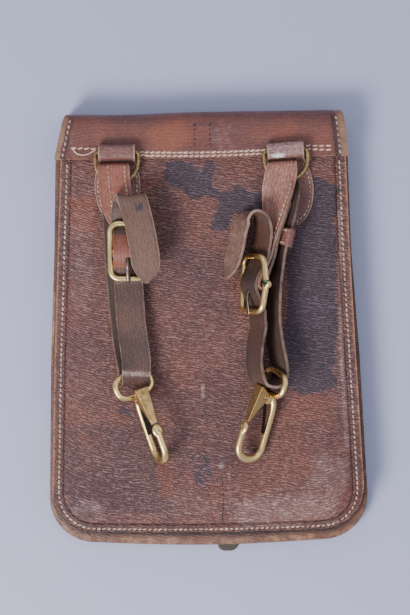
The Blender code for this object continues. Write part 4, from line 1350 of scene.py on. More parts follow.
    def front_panel(self) -> None:
        """Model the front panel, whose cut edge shows as the rim."""
        side, corner, bottom = self.front_steps
        path = LIP.path(side, corner, bottom)
        insets = np.array((0.0, 0.5, 1.2, 4.0, 10.0, 20.0))
        spots = path[:, None, :] + LIP.inward(path)[:, None, :] * insets[None, :, None]
        flat = fill_ring(spots[:, -1, :], side + corner)[0]
        band, inner = (
            laid_sheet(name, np.dstack((sheet, np.full(sheet.shape[:2], self.front_z))))
            for name, sheet in (("front_panel_edge", spots), ("front_hide", flat)))
        panel = join(inner, band)
        weld(panel)
        x, y = places(panel)[:, :2].T
        left, right = LIP.edges(y)
        near = np.minimum(np.minimum(x - left, right - x), y - LIP.bottom)
        paint(panel, "rim", 0.55 * (1 - soft_step(0.0, 2.0, near)))
        give_wall(panel, self.leather * MM, 0.0006)
        smooth(panel)
        settle(panel, Slot.FRONT, "front_leather", "front_panel")

    def flap_row(self, y: float, z: float, on_front: bool) -> np.ndarray:
        """Lay one row of the flap from its left edge to its right one.

        Args:
            y: The row's way up the case.
            z: Its height over the table.
            on_front: Whether it lies on the case's front.

        Returns:
            The row's places.
        """
        edge_y = min(y, 157.0) if on_front or z > 20.0 else 157.0
        left, right = (float(edge[0]) for edge in LIP.edges(np.array([edge_y])))
        if on_front:
            rise = min(max(LIP.bottom + LIP.radius - y, 0.0), LIP.radius - 0.01)
            drawn = 1.4 + LIP.radius - math.sqrt(LIP.radius ** 2 - rise ** 2)
        else:
            drawn = 0.7 if z > 20.0 or y > 157.0 else 0.0
        beyond = min(max(y - 159.8 + self.flap_corner, 0.0), self.flap_corner)
        drawn += 0.8 * (self.flap_corner - math.sqrt(self.flap_corner ** 2 - beyond ** 2))
        left, right = left + drawn, right - drawn
        last = FLAP_WAYS[-1]
        middle = left + last + (right - left - 2 * last) * np.linspace(0.0, 1.0, 52)[1:-1]
        x = np.concatenate((left + FLAP_WAYS, middle, (right - FLAP_WAYS)[::-1]))
        if on_front:
            reach = np.abs(x - self.closure_x)
            near_strap = 1 - soft_step(self.closure_half + 0.8, self.closure_half + 4.2, reach)
            lift = 2.3 * near_strap * (1 - soft_step(61.0, 66.0, np.array(y)))
            return np.column_stack((x, np.full(len(x), y), z + lift))
        near = np.minimum(x - left, right - x)
        fold = self.flap_fold(x)
        sunk = 1.5 * (1 - soft_step(fold - 1.9, fold + 0.6, near)) + 0.6 * ridge(near, fold, 0.5)
        sag = 1.5 * ridge(x, -62.0, 38.0) * soft_step(140.0, 156.0, np.array(y))
        return np.column_stack((x, y - sag, z - sunk * soft_step(21.0, 26.0, np.array(z))))

    def flap_fold(self, x: np.ndarray) -> np.ndarray:
        """Return how far in the flap's side fold lies, wider on the right."""
        return np.where(x < 0.0, 7.9, 9.2)

    def flap(self) -> None:
        """Model the flap: sewn to the back, rolled over the top edge, down the whole front."""
        over, under = self.flap_z, self.flap_front_z
        side_view = through(np.array((
            (self.seam_y, over), (133.0, over), (140.0, over), (148.0, over), (153.6, 25.2),
            (157.8, 21.6), (159.6, 16.0), (159.8, 11.0), (158.6, 6.0), (155.2, 2.2),
            (150.0, under), (140.0, under), (130.0, under))), 6)
        low = LIP.bottom + LIP.radius
        swing = np.radians(np.linspace(0.0, 78.0, 16))
        front = np.concatenate((np.linspace(126.0, low + 2.0, 90),
                                low - (LIP.radius - 0.6) * np.sin(swing)))
        profile = np.vstack((side_view, np.column_stack((front, np.full(len(front), under)))))
        turned = np.argmax(profile[:, 1] < 2.0)
        points = np.stack([self.flap_row(y, z, index >= turned)
                           for index, (y, z) in enumerate(profile)])
        flap = laid_sheet("flap_hide", points)
        x, y, z = np.moveaxis(points, 2, 0)
        near = np.minimum(x - x[:, :1], x[:, -1:] - x)
        high = soft_step(20.0, 25.0, z)
        wide = np.where(x < 0.0, 4.6, 6.4)
        fold = self.flap_fold(x)
        paint_sheet(flap, "rim", 0.68 * (1 - soft_step(wide - 1.6, wide + 1.2, near))
                    * soft_step(3.0, 8.0, z))
        # Painted shade in the side fold and along the edge stitches.
        paint_sheet(flap, "dark", high * np.maximum(0.85 * ridge(near, fold, 0.6),
                                                    0.5 * ridge(near, 5.8, 0.8)))
        strip = 0.75 * soft_step(2.6, 4.4, near) * (1 - soft_step(fold - 0.6, fold + 0.8, near))
        for name, marks in (
            ("worn", (
                Patch(-26, 141, 11, 7, 20, 0.75, 9), Patch(62, 144, 26, 3, 0, 0.5, 10),
                Patch(-60, 143, 16, 4, 0, 0.42, 9),)),
            ("bruise", (
                Patch(-89, 140, 8, 6, 0, 0.5, 9), Patch(8, 141, 2, 8, 0, 0.75, 4),
                Patch(1, 150.6, 8, 0.8, 0, 0.7, 2.4), Patch(40, 138, 22, 4, 0, 0.4, 9),)),
            ("scuff", (
                Patch(13, 139, 5, 8, 14, 0.5, 7), Patch(20, 148, 8, 3, -20, 0.4, 8),
                Patch(-57, 146, 0.3, 10, 0, 0.7, 1.2), Patch(-96, 140, 1.2, 14, 6, 0.5, 2.6),
                Patch(0, 129.5, 60, 1.2, 0, 0.5, 2.6),)),
        ):
            cover = np.maximum(cover_of(marks, x, y), strip * (name == "bruise"))
            paint_sheet(flap, name, cover * high)
        crumple(flap, 0.0004, 0.02)
        give_wall(flap, self.leather * MM, 0.0005, cut=0.75)
        smooth(flap)
        settle(flap, Slot.FLAP, "flap_leather", "flap")
        self.flap_seams()

    def flap_seams(self) -> None:
        """Sew the flap's seam on the back, its two upright edges, and the old strap's holes."""
        top = self.flap_z + self.leather / 2
        for name, start, stop, seed in (
            ("seam_upper_left", (-97.0, 134.6), (-78.0, 133.8), 11),
            ("seam_upper", (-47.5, 131.0), (45.5, 131.4), 12),
            ("seam_lower", (-47.5, 128.6), (45.5, 128.8), 13),
            ("seam_upper_right", (73.4, 134.0), (93.2, 133.8), 14),
            ("seam_lower_right", (73.4, 131.6), (93.2, 130.8), 15),
        ):
            share = np.linspace(0.0, 1.0, 20)
            sag = np.sin(math.pi * share) * (stop[0] - start[0] > 40.0)
            path = np.column_stack((start[0] + (stop[0] - start[0]) * share,
                                    start[1] + (stop[1] - start[1]) * share - sag,
                                    np.full(20, top - 0.1)))
            sew(name, path, UP, Stitch(4.0, 4.1, 0.78, 0.0, 12.0), seed, Slot.FLAP, "pink_thread")
        loop = through(np.array(((-95.6, 134.4, 27.6), (-92.6, 130.6, 28.2), (-87.4, 129.4, 28.4),
                                 (-82.6, 130.8, 28.2), (-78.6, 133.2, 27.6))), 6)
        thread = oval_bar("loose_thread", loop, UP, 0.5, 0.45, False, 10)
        smooth(thread, 60.0)
        settle(thread, Slot.FLAP, "pink_thread")
        y = np.linspace(127.6, 156.0, 26)
        left, right = LIP.edges(y)
        z = top - 1.5 - 0.15 - 1.9 * soft_step(148.0, 156.5, y)
        sew("edge_row_left", np.column_stack((left + 6.4, y, z)), UP, EDGE_STITCH, 21, Slot.FLAP)
        sew("edge_row_right", np.column_stack((right - 6.6, y, z)), UP, EDGE_STITCH, 22, Slot.FLAP)
        y = np.linspace(134.5, 152.0, 12)
        for name, x, seed in (("old_holes_left", -6.6, 31), ("old_holes_right", 4.4, 32)):
            path = np.column_stack((np.full(len(y), x), y, np.full(len(y), top - 0.05)))
            sew(name, path, UP, Stitch(3.0, 1.7, 0.75, 0.3, 0.0), seed, Slot.FLAP, "awl_hole")

    def closure(self) -> None:
        """Model the front strap, whose tip shows under the bottom edge."""
        y = through(np.array([[58.0], [-50.0], [-145.0], [-162.9]]), 14)[:, 0]
        left_over = y - y[-1]
        reach = np.where(left_over < 12.0, self.closure_half * (
            0.35 + 0.65 * np.sqrt(np.clip(1 - (1 - left_over / 12.0) ** 2, 0.0, 1.0))),
            self.closure_half)
        across = np.linspace(-1.0, 1.0, 11)
        x = self.closure_x - 0.8 * soft_step(-145.0, -163.0, y)[:, None] + reach[:, None] * across
        points = np.dstack((x, np.broadcast_to(y[:, None], x.shape), np.full(x.shape, 1.0)))
        strap = laid_sheet("closure_hide", points)
        give_wall(strap, 0.002, 0.0006)
        smooth(strap)
        settle(strap, Slot.CLOSURE, "closure_leather", "closure_strap")


# Straps

@dataclass(frozen=True)
class Seat:
    """Frame of a fitting: its middle, lean, rise and roll, in millimetres and degrees."""

    x: float
    y: float
    z: float
    lean: float
    rise: float
    roll: float

    def turn(self) -> np.ndarray:
        """Return the frame's axes as columns."""
        turned = (Matrix.Rotation(math.radians(self.lean), 3, "Z")
                  @ Matrix.Rotation(math.radians(self.rise), 3, "X")
                  @ Matrix.Rotation(-math.radians(self.roll), 3, "Y"))
        return np.array(turned)

    def place(self, points: np.ndarray) -> np.ndarray:
        """Turn points of this frame into the drawing's."""
        return np.asarray(points, float) @ self.turn().T + np.array((self.x, self.y, self.z))

    def local(self, points: np.ndarray) -> np.ndarray:
        """Turn points of the drawing into this frame's."""
        return (np.asarray(points, float) - np.array((self.x, self.y, self.z))) @ self.turn()

    def station(self, along: float, out: float, shift: float = 0.0) -> tuple[float, ...]:
        """Return a strap station that is given in this frame."""
        turned = self.turn()
        spot = turned @ np.array((shift, along, out)) + (self.x, self.y, self.z)
        return (*spot, *turned[:, 0])


def station(x: float, y: float, z: float, across_x: float = 1.0, across_z: float = 0.0,
            across_y: float = 0.0) -> tuple[float, ...]:
    """Return a strap station: the strap's middle and the direction of its width."""
    return (x, y, z, across_x, across_y, across_z)


LEFT_SEAT = Seat(-55.8, 58.8, 37.6, 0.0, 4.5, 0.0)
RIGHT_SEAT = Seat(35.5, 33.7, 42.0, -3.0, 0.0, 60.0)
LEFT_HOOK = Seat(-53.2, -37.6, 34.6, 18.6, 1.8, -24.0)
RIGHT_HOOK = Seat(48.4, -37.4, 39.0, -16.5, 6.6, 58.0)
CHAPE_IN_BUCKLE = ((0.6, -2.95), (-2.3, -2.05), (-3.05, 0), (-2.3, 2.05), (0, 2.95),
                   (6, 1.2), (13, -3))
FRONT_IN_BUCKLE = ((-19.5, -3.2), (-13, -0.6), (-6, 3.7), (0, 5.3), (6, 3.7),
                   (13, -0.5), (19.5, -3.1))


def left_stations() -> list[tuple[float, ...]]:
    """Return the left strap's run: chape, ring fold, back, eye fold, front and free end."""
    seat = LEFT_SEAT
    return [
        station(-64.4, 104.6, 32.4), station(-63.8, 97, 32.6), station(-62.2, 88, 32),
        seat.station(17, -8, -0.7), seat.station(8, -4.6),
        *(seat.station(*spot) for spot in CHAPE_IN_BUCKLE),
        seat.station(19.5, -5.7, -0.7),
        station(-62.2, 88, 34.6), station(-63.8, 97, 35.2), station(-64.6, 104, 35),
        station(-65.2, 110, 34.6), station(-65.6, 118.5, 34.4), station(-65.6, 121, 33.4),
        station(-65.6, 121.8, 31.5), station(-65.6, 121, 29.7), station(-65.6, 118.5, 28.7),
        station(-65.6, 106, 28.6), station(-64.4, 93, 28.6), station(-63.2, 70, 28.6),
        station(-62.4, 50, 28.6), station(-60.6, 23.6, 28.4),
        station(-57.8, -5.5, 29, 0.99, -0.12), station(-55, -24, 30.2, 0.95, -0.28),
        station(-53.2, -32.4, 30.7, 0.94, -0.34), station(-52.4, -35.6, 31.7, 0.94, -0.34),
        station(-51.8, -37.1, 34.4, 0.94, -0.34), station(-51.4, -36, 37.2, 0.94, -0.34),
        station(-51.2, -32.4, 38.4, 0.94, -0.34), station(-51, -20, 37.6, 0.98, -0.2),
        station(-53.6, 0, 34.8), station(-55.2, 20, 33.2),
        seat.station(-26, -3.9), *(seat.station(*spot) for spot in FRONT_IN_BUCKLE),
        station(-58, 84, 37.6), station(-56.8, 89, 39), station(-55.6, 93.5, 39.8),
        station(-54.4, 96.8, 41), station(-53.4, 97.7, 43), station(-52.4, 96.4, 45),
        station(-50.6, 91.5, 46.6), station(-47.2, 78, 48.4), station(-44.2, 62, 48.4),
        station(-42.6, 48, 47), station(-42.4, 35.6, 44.2),
    ]


def right_stations() -> list[tuple[float, ...]]:
    """Return the right strap's run: the same, turned on its edge, with a standing end."""
    seat = RIGHT_SEAT
    ax, az = math.cos(math.radians(60)), math.sin(math.radians(60))
    return [
        station(53.8, 93, 35, 0.82, 0.57), station(51, 80, 36.9, 0.64, 0.77),
        station(46.8, 66, 38.3, 0.56, 0.83), seat.station(20, -9), seat.station(9, -5.2),
        *(seat.station(*spot) for spot in CHAPE_IN_BUCKLE), seat.station(20, -6.2),
        station(44.6, 66, 39.9, 0.56, 0.83), station(49, 80, 38.6, 0.64, 0.77),
        station(51.6, 93, 37.1, 0.82, 0.57), station(53.4, 103, 35.9, 0.98, 0.2),
        station(54.8, 110, 34.8, 1, 0, 0.03), station(56.5, 118.5, 34.6, 1, 0, 0.05),
        station(56.6, 121, 33.4, 1, 0, 0.05), station(56.6, 121.8, 31.5, 1, 0, 0.05),
        station(56.6, 121, 29.7, 1, 0, 0.05), station(56.8, 118.5, 28.7, 1, 0, 0.05),
        station(57.6, 112, 28.75, 1, 0.02, 0.03), station(58.6, 106, 29, 1, 0.03),
        station(59.4, 99, 32.6, 0.93, 0.36), station(59.4, 92, 35.4, 0.8, 0.6),
        station(58, 80, 36.6, 0.62, 0.78), station(55.2, 68, 37.6, 0.55, 0.835),
        station(52.4, 57, 36.8, ax, az), station(49.2, 34, 36.2, ax, az),
        station(48, 10, 36.2, ax, az), station(49.8, -8, 36.2, ax, az),
        station(52.6, -24, 36.8, ax, az), station(52.6, -33, 37.6, ax, az),
        station(48.2, -39.2, 39.2, ax, az), station(41, -39.6, 40.5, ax, az),
        station(36.2, -34.6, 40.8, ax, az), station(34.2, -24, 40.4, ax, az),
        station(35.2, -10, 40.2, ax, az), station(37.6, 2, 40.2, ax, az),
        seat.station(-25, -3.6), *(seat.station(*spot) for spot in FRONT_IN_BUCKLE),
        station(41.2, 61, 42.4, ax, az), station(42.4, 71, 42, ax, az),
        station(40.6, 79.6, 41.4, ax, az), station(35.4, 83.6, 40.6, ax, az),
        station(29.2, 81.4, 39.6, ax, az), station(24.8, 73, 38.6, ax, az),
        station(22.6, 62, 37.8, ax, az), station(19.4, 50, 37, ax, az),
        station(15.4, 38, 36.4, ax, az),
    ]


@dataclass
class Strap:
    """One long strap that runs through ring, eye and buckle. Sizes are in millimetres."""

    side: Side
    stations: list[tuple[float, ...]]
    chape_ends: tuple[int, int]
    stitched: tuple[int, int]
    front_starts: int
    free_starts: int
    seams: tuple[tuple[str, float, int], ...] = (("inner", -0.38, 41), ("outer", 0.76, 42))
    # The chape's lightening is partly rub and partly painted sheen, the free end's lightening is
    # painted light, and gloss_at and gloss place a painted highlight across a fold.
    chape_rub_and_sheen: float = 0.5
    front_dark: float = 0.0
    free_end_lit: float = 0.0
    gloss_at: float = 33.25
    gloss: float = 1.0
    red: tuple[float, float] = (39.2, 42.8)
    ink: tuple[float, float, float] = (51.2, 0.2, 1.0)
    half: float = 10.5
    leather: float = 2.0
    tip: float = 17.0
    chape_wider: float = 1.1
    steps: int = 6
    columns: int = 21
    centre: np.ndarray = field(init=False)
    across: np.ndarray = field(init=False)
    normal: np.ndarray = field(init=False)

    def __post_init__(self) -> None:
        """Work out the strap's middle line and its directions."""
        rows = np.array(self.stations)
        self.centre = through(rows[:, :3], self.steps)
        wish = through(rows[:, 3:], self.steps)
        run = unit(np.gradient(self.centre, axis=0))
        self.across = unit(wish - run * (run * wish).sum(1)[:, None])
        self.normal = np.cross(self.across, run)

    def build(self) -> None:
        """Model the strap and sew its chape."""
        left_over = np.linalg.norm(self.centre[-1] - self.centre, axis=1)
        row = np.arange(len(self.centre)) / self.steps
        wider = self.chape_wider * soft_step(12.6, 14.0, row) * (1 - soft_step(17.4, 18.4, row))
        arch = 2 * np.sqrt(1 - 0.75 * (1 - np.clip(left_over / self.tip, 0.0, 1.0)) ** 2) - 1
        tip = np.where((row > self.free_starts) & (left_over < self.tip), arch, 1.0)
        reach = (self.half + wider) * np.maximum(tip, 0.05)
        share = np.sin(np.linspace(-1.0, 1.0, self.columns) * math.pi / 2 * 0.92)
        share = share / share[-1]
        near = (1 - np.abs(share)) * self.half
        line = -0.22 * ridge(near, 1.9, 0.4)
        points = (self.centre[:, None, :]
                  + self.across[:, None, :] * (reach[:, None] * share[None, :])[:, :, None]
                  + self.normal[:, None, :] * line[None, :, None])
        name = "strap_" + self.side.value
        strap = laid_sheet(name + "_hide", points)
        self.colour(strap, near)
        crumple(strap, 0.0006, 0.011)
        give_wall(strap, self.leather * MM, 0.0006, cut=0.62, flesh=0.85)
        smooth(strap)
        settle(strap, Slot.STRAP, "strap_leather", name)
        self.sew_chape()

    def colour(self, strap: Piece, near: np.ndarray) -> None:
        """Paint the redder chape, the rubbed edges, painted shade on the back layer and painted
        light on the fold and free end.

        Args:
            strap: The strap's sheet.
            near: How far each column lies in from the edge.
        """
        row = np.arange(len(self.centre)) / self.steps
        low, high = self.chape_ends
        chape = soft_step(low - 1.0, low + 1.0, row) * (1 - soft_step(high - 1.0, high + 1.0, row))
        free = soft_step(self.free_starts, self.free_starts + 4.0, row)
        edge = 1 - soft_step(0.2, 1.6, near)
        share = np.linspace(-1.0, 1.0, len(near))
        rim = 0.5 * edge[None, :] + 0.08 * free[:, None]
        paint_sheet(strap, "rim", rim)
        # Painted highlight across the fold, through the scuff and shine marks.
        fold = self.gloss * ridge(row, self.gloss_at, 0.3)
        scuff = np.maximum(fold[:, None], 0.3 * edge[None, :])
        # The chape lighter, partly rubbed and partly painted sheen; the free end lighter by painted
        # light.
        scuff = np.maximum(scuff, self.chape_rub_and_sheen * chape[:, None] * (row < high)[:, None])
        scuff = np.maximum(scuff, self.free_end_lit * free[:, None])
        paint_sheet(strap, "scuff", scuff)
        paint_sheet(strap, "shine", 0.5 * fold[:, None], rim)
        start, stop = self.red
        inside = soft_step(start - 0.2, start + 0.2, row)
        inside = inside * (1 - soft_step(stop - 0.2, stop + 0.2, row))
        paint_sheet(strap, "worn", np.maximum(chape, inside)[:, None], rim)
        # Painted shade on the back layer, which lies under the front one, along the stitch lines,
        # and past the red stretch where the strap dips under the bar.
        back = (1 - chape) * (1 - soft_step(self.front_starts - 2.0, self.front_starts, row))
        line = 0.4 * ridge(near, 1.9, 0.45)
        gap = 0.5 * ridge(row, stop + 0.5, 0.3)
        at, across, strength = self.ink
        ink = 0.96 * strength * ridge(row, at, 0.28)[:, None] * ridge(share, across, 0.22)
        paint_sheet(strap, "stain", ink)
        front = soft_step(self.front_starts, self.front_starts + 2.0, row) * (
            1 - soft_step(self.free_starts - 3.0, self.free_starts, row)) * self.front_dark
        dark = 0.66 * back[:, None] * (1 - 0.7 * edge[None, :]) + line[None, :] + gap[:, None]
        dark = dark + front[:, None]
        paint_sheet(strap, "dark", np.clip(dark, 0.0, 0.85))

    def sew_chape(self) -> None:
        """Sew the chape's long rows."""
        low, high = (index * self.steps for index in self.stitched)
        up = self.normal[low:high] * math.copysign(1.0, self.normal[low, 2])
        for name, way, seed in self.seams:
            spots = (self.centre[low:high] + self.across[low:high] * way * self.half
                     + up * (self.leather / 2))
            sew(f"chape_stitches_{name}_{self.side.value}", spots, up,
                Stitch(3.4, 2.9, 0.6, 0.0, 8.0), seed, Slot.STRAP)


@dataclass
class Keeper:
    """Small leather loop round the back layer of a strap. Sizes are in millimetres."""

    strap: Strap
    at: int = 28
    length: float = 12.5
    slack: float = 1.0
    leather: float = 1.4

    def build(self) -> None:
        """Model the loop and its stitches."""
        index = self.at * self.strap.steps
        here = self.strap.centre[index]
        across, normal = self.strap.across[index], self.strap.normal[index]
        run = np.cross(normal, across)
        half = self.strap.half + self.slack + self.leather / 2
        top = self.strap.leather / 2 + self.slack + self.leather / 2
        turn = np.linspace(0.0, 2 * math.pi, 49)
        wide, high = half * squared(np.cos(turn), 0.22), top * squared(np.sin(turn), 0.5)
        loop = here + wide[:, None] * across + high[:, None] * normal
        shares = np.linspace(-0.5, 0.5, 13)
        points = loop[:, None, :] + run[None, None, :] * (shares * self.length)[None, :, None]
        keeper = laid_sheet("keeper_hide", points)
        near = (0.5 - np.abs(shares)) * self.length
        paint_sheet(keeper, "rim", 0.5 * (1 - soft_step(0.2, 1.4, near)), points[:, :, 0])
        paint_sheet(keeper, "worn", np.array(0.12), points[:, :, 0])
        weld(keeper, 0.00005)
        give_wall(keeper, self.leather * MM, 0.0003, 60.0)
        smooth(keeper)
        settle(keeper, Slot.STRAP, "patch_leather", "keeper")
        up = normal if normal[2] > 0 else -normal
        for name, way, seed in (("upper", 1.0, 51), ("lower", -1.0, 52)):
            shift = np.linspace(-half * 0.55, half * 0.86, 14)[:, None] * across
            row = here + shift + up * (top + self.leather / 2) + run * way * (self.length / 2 - 1.7)
            sew(f"keeper_stitches_{name}", row, up, Stitch(3.2, 2.6, 0.7, 0.0, 6.0), seed,
                Slot.STRAP)


@dataclass
class RingPatch:
    """Shield-shaped patch, sewn on, whose top is rolled round the ring's bar."""

    side: Side
    x: float
    turn_deg: float
    slant: float
    # shine is the strength of a painted highlight on the roll.
    shine: float = 0.0
    rub: float = 0.35
    field_top: float = 25.2
    leather: float = 1.8
    roll: float = 3.2
    roll_half: float = 13.2
    step: float = 2.5
    shield: tuple[tuple[float, float], ...] = (
        (76, 1.2), (79, 5.6), (84, 9.8), (91, 13.6), (100, 16), (108, 16.6), (115, 15.8),
        (121.8, 14))

    def rows(self) -> np.ndarray:
        """Return the patch's rows as y, z and half width, from its tip to the roll's end."""
        middle = self.field_top + 0.3 + self.leather / 2
        table = [(y, middle, half) for y, half in self.shield]
        table.append((125.2, middle + self.step, self.roll_half))
        centre = middle + self.step + self.roll
        for y, turns in ((132.4, np.arange(-90.0, 91.0, 30.0)),
                         (129.0, np.arange(90.0, 187.0, 24.0))):
            table += [(y + self.roll * math.cos(turn), centre + self.roll * math.sin(turn),
                       self.roll_half) for turn in np.radians(turns)]
        return np.array(table)

    def build(self) -> None:
        """Model the patch and sew it on."""
        rows = through(self.rows(), 5)
        share = np.sin(np.linspace(-1.0, 1.0, 25) * math.pi / 2 * 0.94)
        share = share / share[-1]
        slide = self.slant * np.maximum(0.0, 125.2 - rows[:, 0])
        x = slide[:, None] + rows[:, 2:3] * share[None, :]
        near = rows[:, 2:3] * (1 - np.abs(share[None, :]))
        tip_way = np.minimum(near, (rows[:, 0:1] - 76.0) * 0.9 + 0.2)
        near = np.where(rows[:, 0:1] < 90.0, tip_way, near)
        flat = (1 - soft_step(120.0, 124.0, rows[:, 0:1]))
        worn_edge = -0.35 * (1 - soft_step(0.0, 2.0, near)) * flat
        groove = -0.22 * ridge(near, 2.5, 0.5) * flat
        points = np.dstack((x, np.broadcast_to(rows[:, 0:1], x.shape),
                            rows[:, 1:2] + worn_edge + groove))
        name = "ring_patch_" + self.side.value
        patch = laid_sheet(name + "_hide", self.turned(points))
        paint_sheet(patch, "rim", 0.72 * (1 - soft_step(0.2, 2.0, near)))
        # Painted shade in the stitch groove.
        paint_sheet(patch, "dark", 0.5 * ridge(near, 2.5, 0.6) * flat)
        rolled = soft_step(122.0, 128.0, rows[:, 0:1])
        # Painted highlight on the roll's lower left.
        lit_row = ridge(np.arange(len(rows)), len(rows) - 14, 8.0)[:, None]
        paint_sheet(patch, "scuff", self.rub * rolled, near)
        paint_sheet(patch, "shine", self.shine * lit_row * ridge(share, -0.42, 0.5))
        paint_sheet(patch, "worn", 0.25 * rolled, near)
        crumple(patch, 0.0007, 0.008)
        give_wall(patch, self.leather * MM, 0.0005, cut=0.8)
        smooth(patch)
        settle(patch, Slot.PATCH, "patch_leather", name)
        self.sew_on()

    def turned(self, points: np.ndarray) -> np.ndarray:
        """Turn drawing points to the patch's place on the back."""
        turn = math.radians(self.turn_deg)
        x, y = points[..., 0], points[..., 1] - 128.0
        return np.stack((self.x + x * math.cos(turn) - y * math.sin(turn),
                         128.0 + x * math.sin(turn) + y * math.cos(turn), points[..., 2]), axis=-1)

    def sew_on(self) -> None:
        """Sew the patch's shield round its edge."""
        rows = through(self.rows()[:len(self.shield)], 6)
        top = self.field_top + 0.3 + self.leather - 0.12
        slide = self.slant * np.maximum(0.0, 125.2 - rows[:, 0])
        inner = np.maximum(rows[:, 2] - 2.4, 0.2)
        lift = rows[:, 0] + 2.0 * (1 - soft_step(76.0, 86.0, rows[:, 0]))
        left, right = (np.column_stack((slide + way * inner, lift, np.full(len(rows), top)))
                       for way in (-1, 1))
        path = self.turned(np.vstack((left[::-1], right)))
        sew("patch_stitches_" + self.side.value, path, UP, Stitch(3.5, 2.8, 0.5, 0.05, 8.0), 61,
            Slot.PATCH)


@dataclass(frozen=True)
class HookSize:
    """Sizes of a snap hook in its own frame: down the hook, and towards its lever."""

    eye_half_wide: float = 14.0
    eye_half_high: float = 8.2
    eye_turn_deg: float = 6.0
    spine: tuple[tuple[float, float], ...] = ((8.6, 0.2), (10.5, -1.6), (13.0, -3.4), (18.0, -5.0),
                                              (26.0, -5.5), (36.0, -5.5), (43.0, -5.5))
    bend_u: float = 49.5
    tip_v: float = 14.5
    spine_v: float = -5.5
    nose_u: float = 36.4
    taper: tuple[tuple[float, float], ...] = ((4.0, 1.3), (10.0, 1.32), (15.0, 1.14),
                                              (24.0, 0.84), (31.0, 0.6))


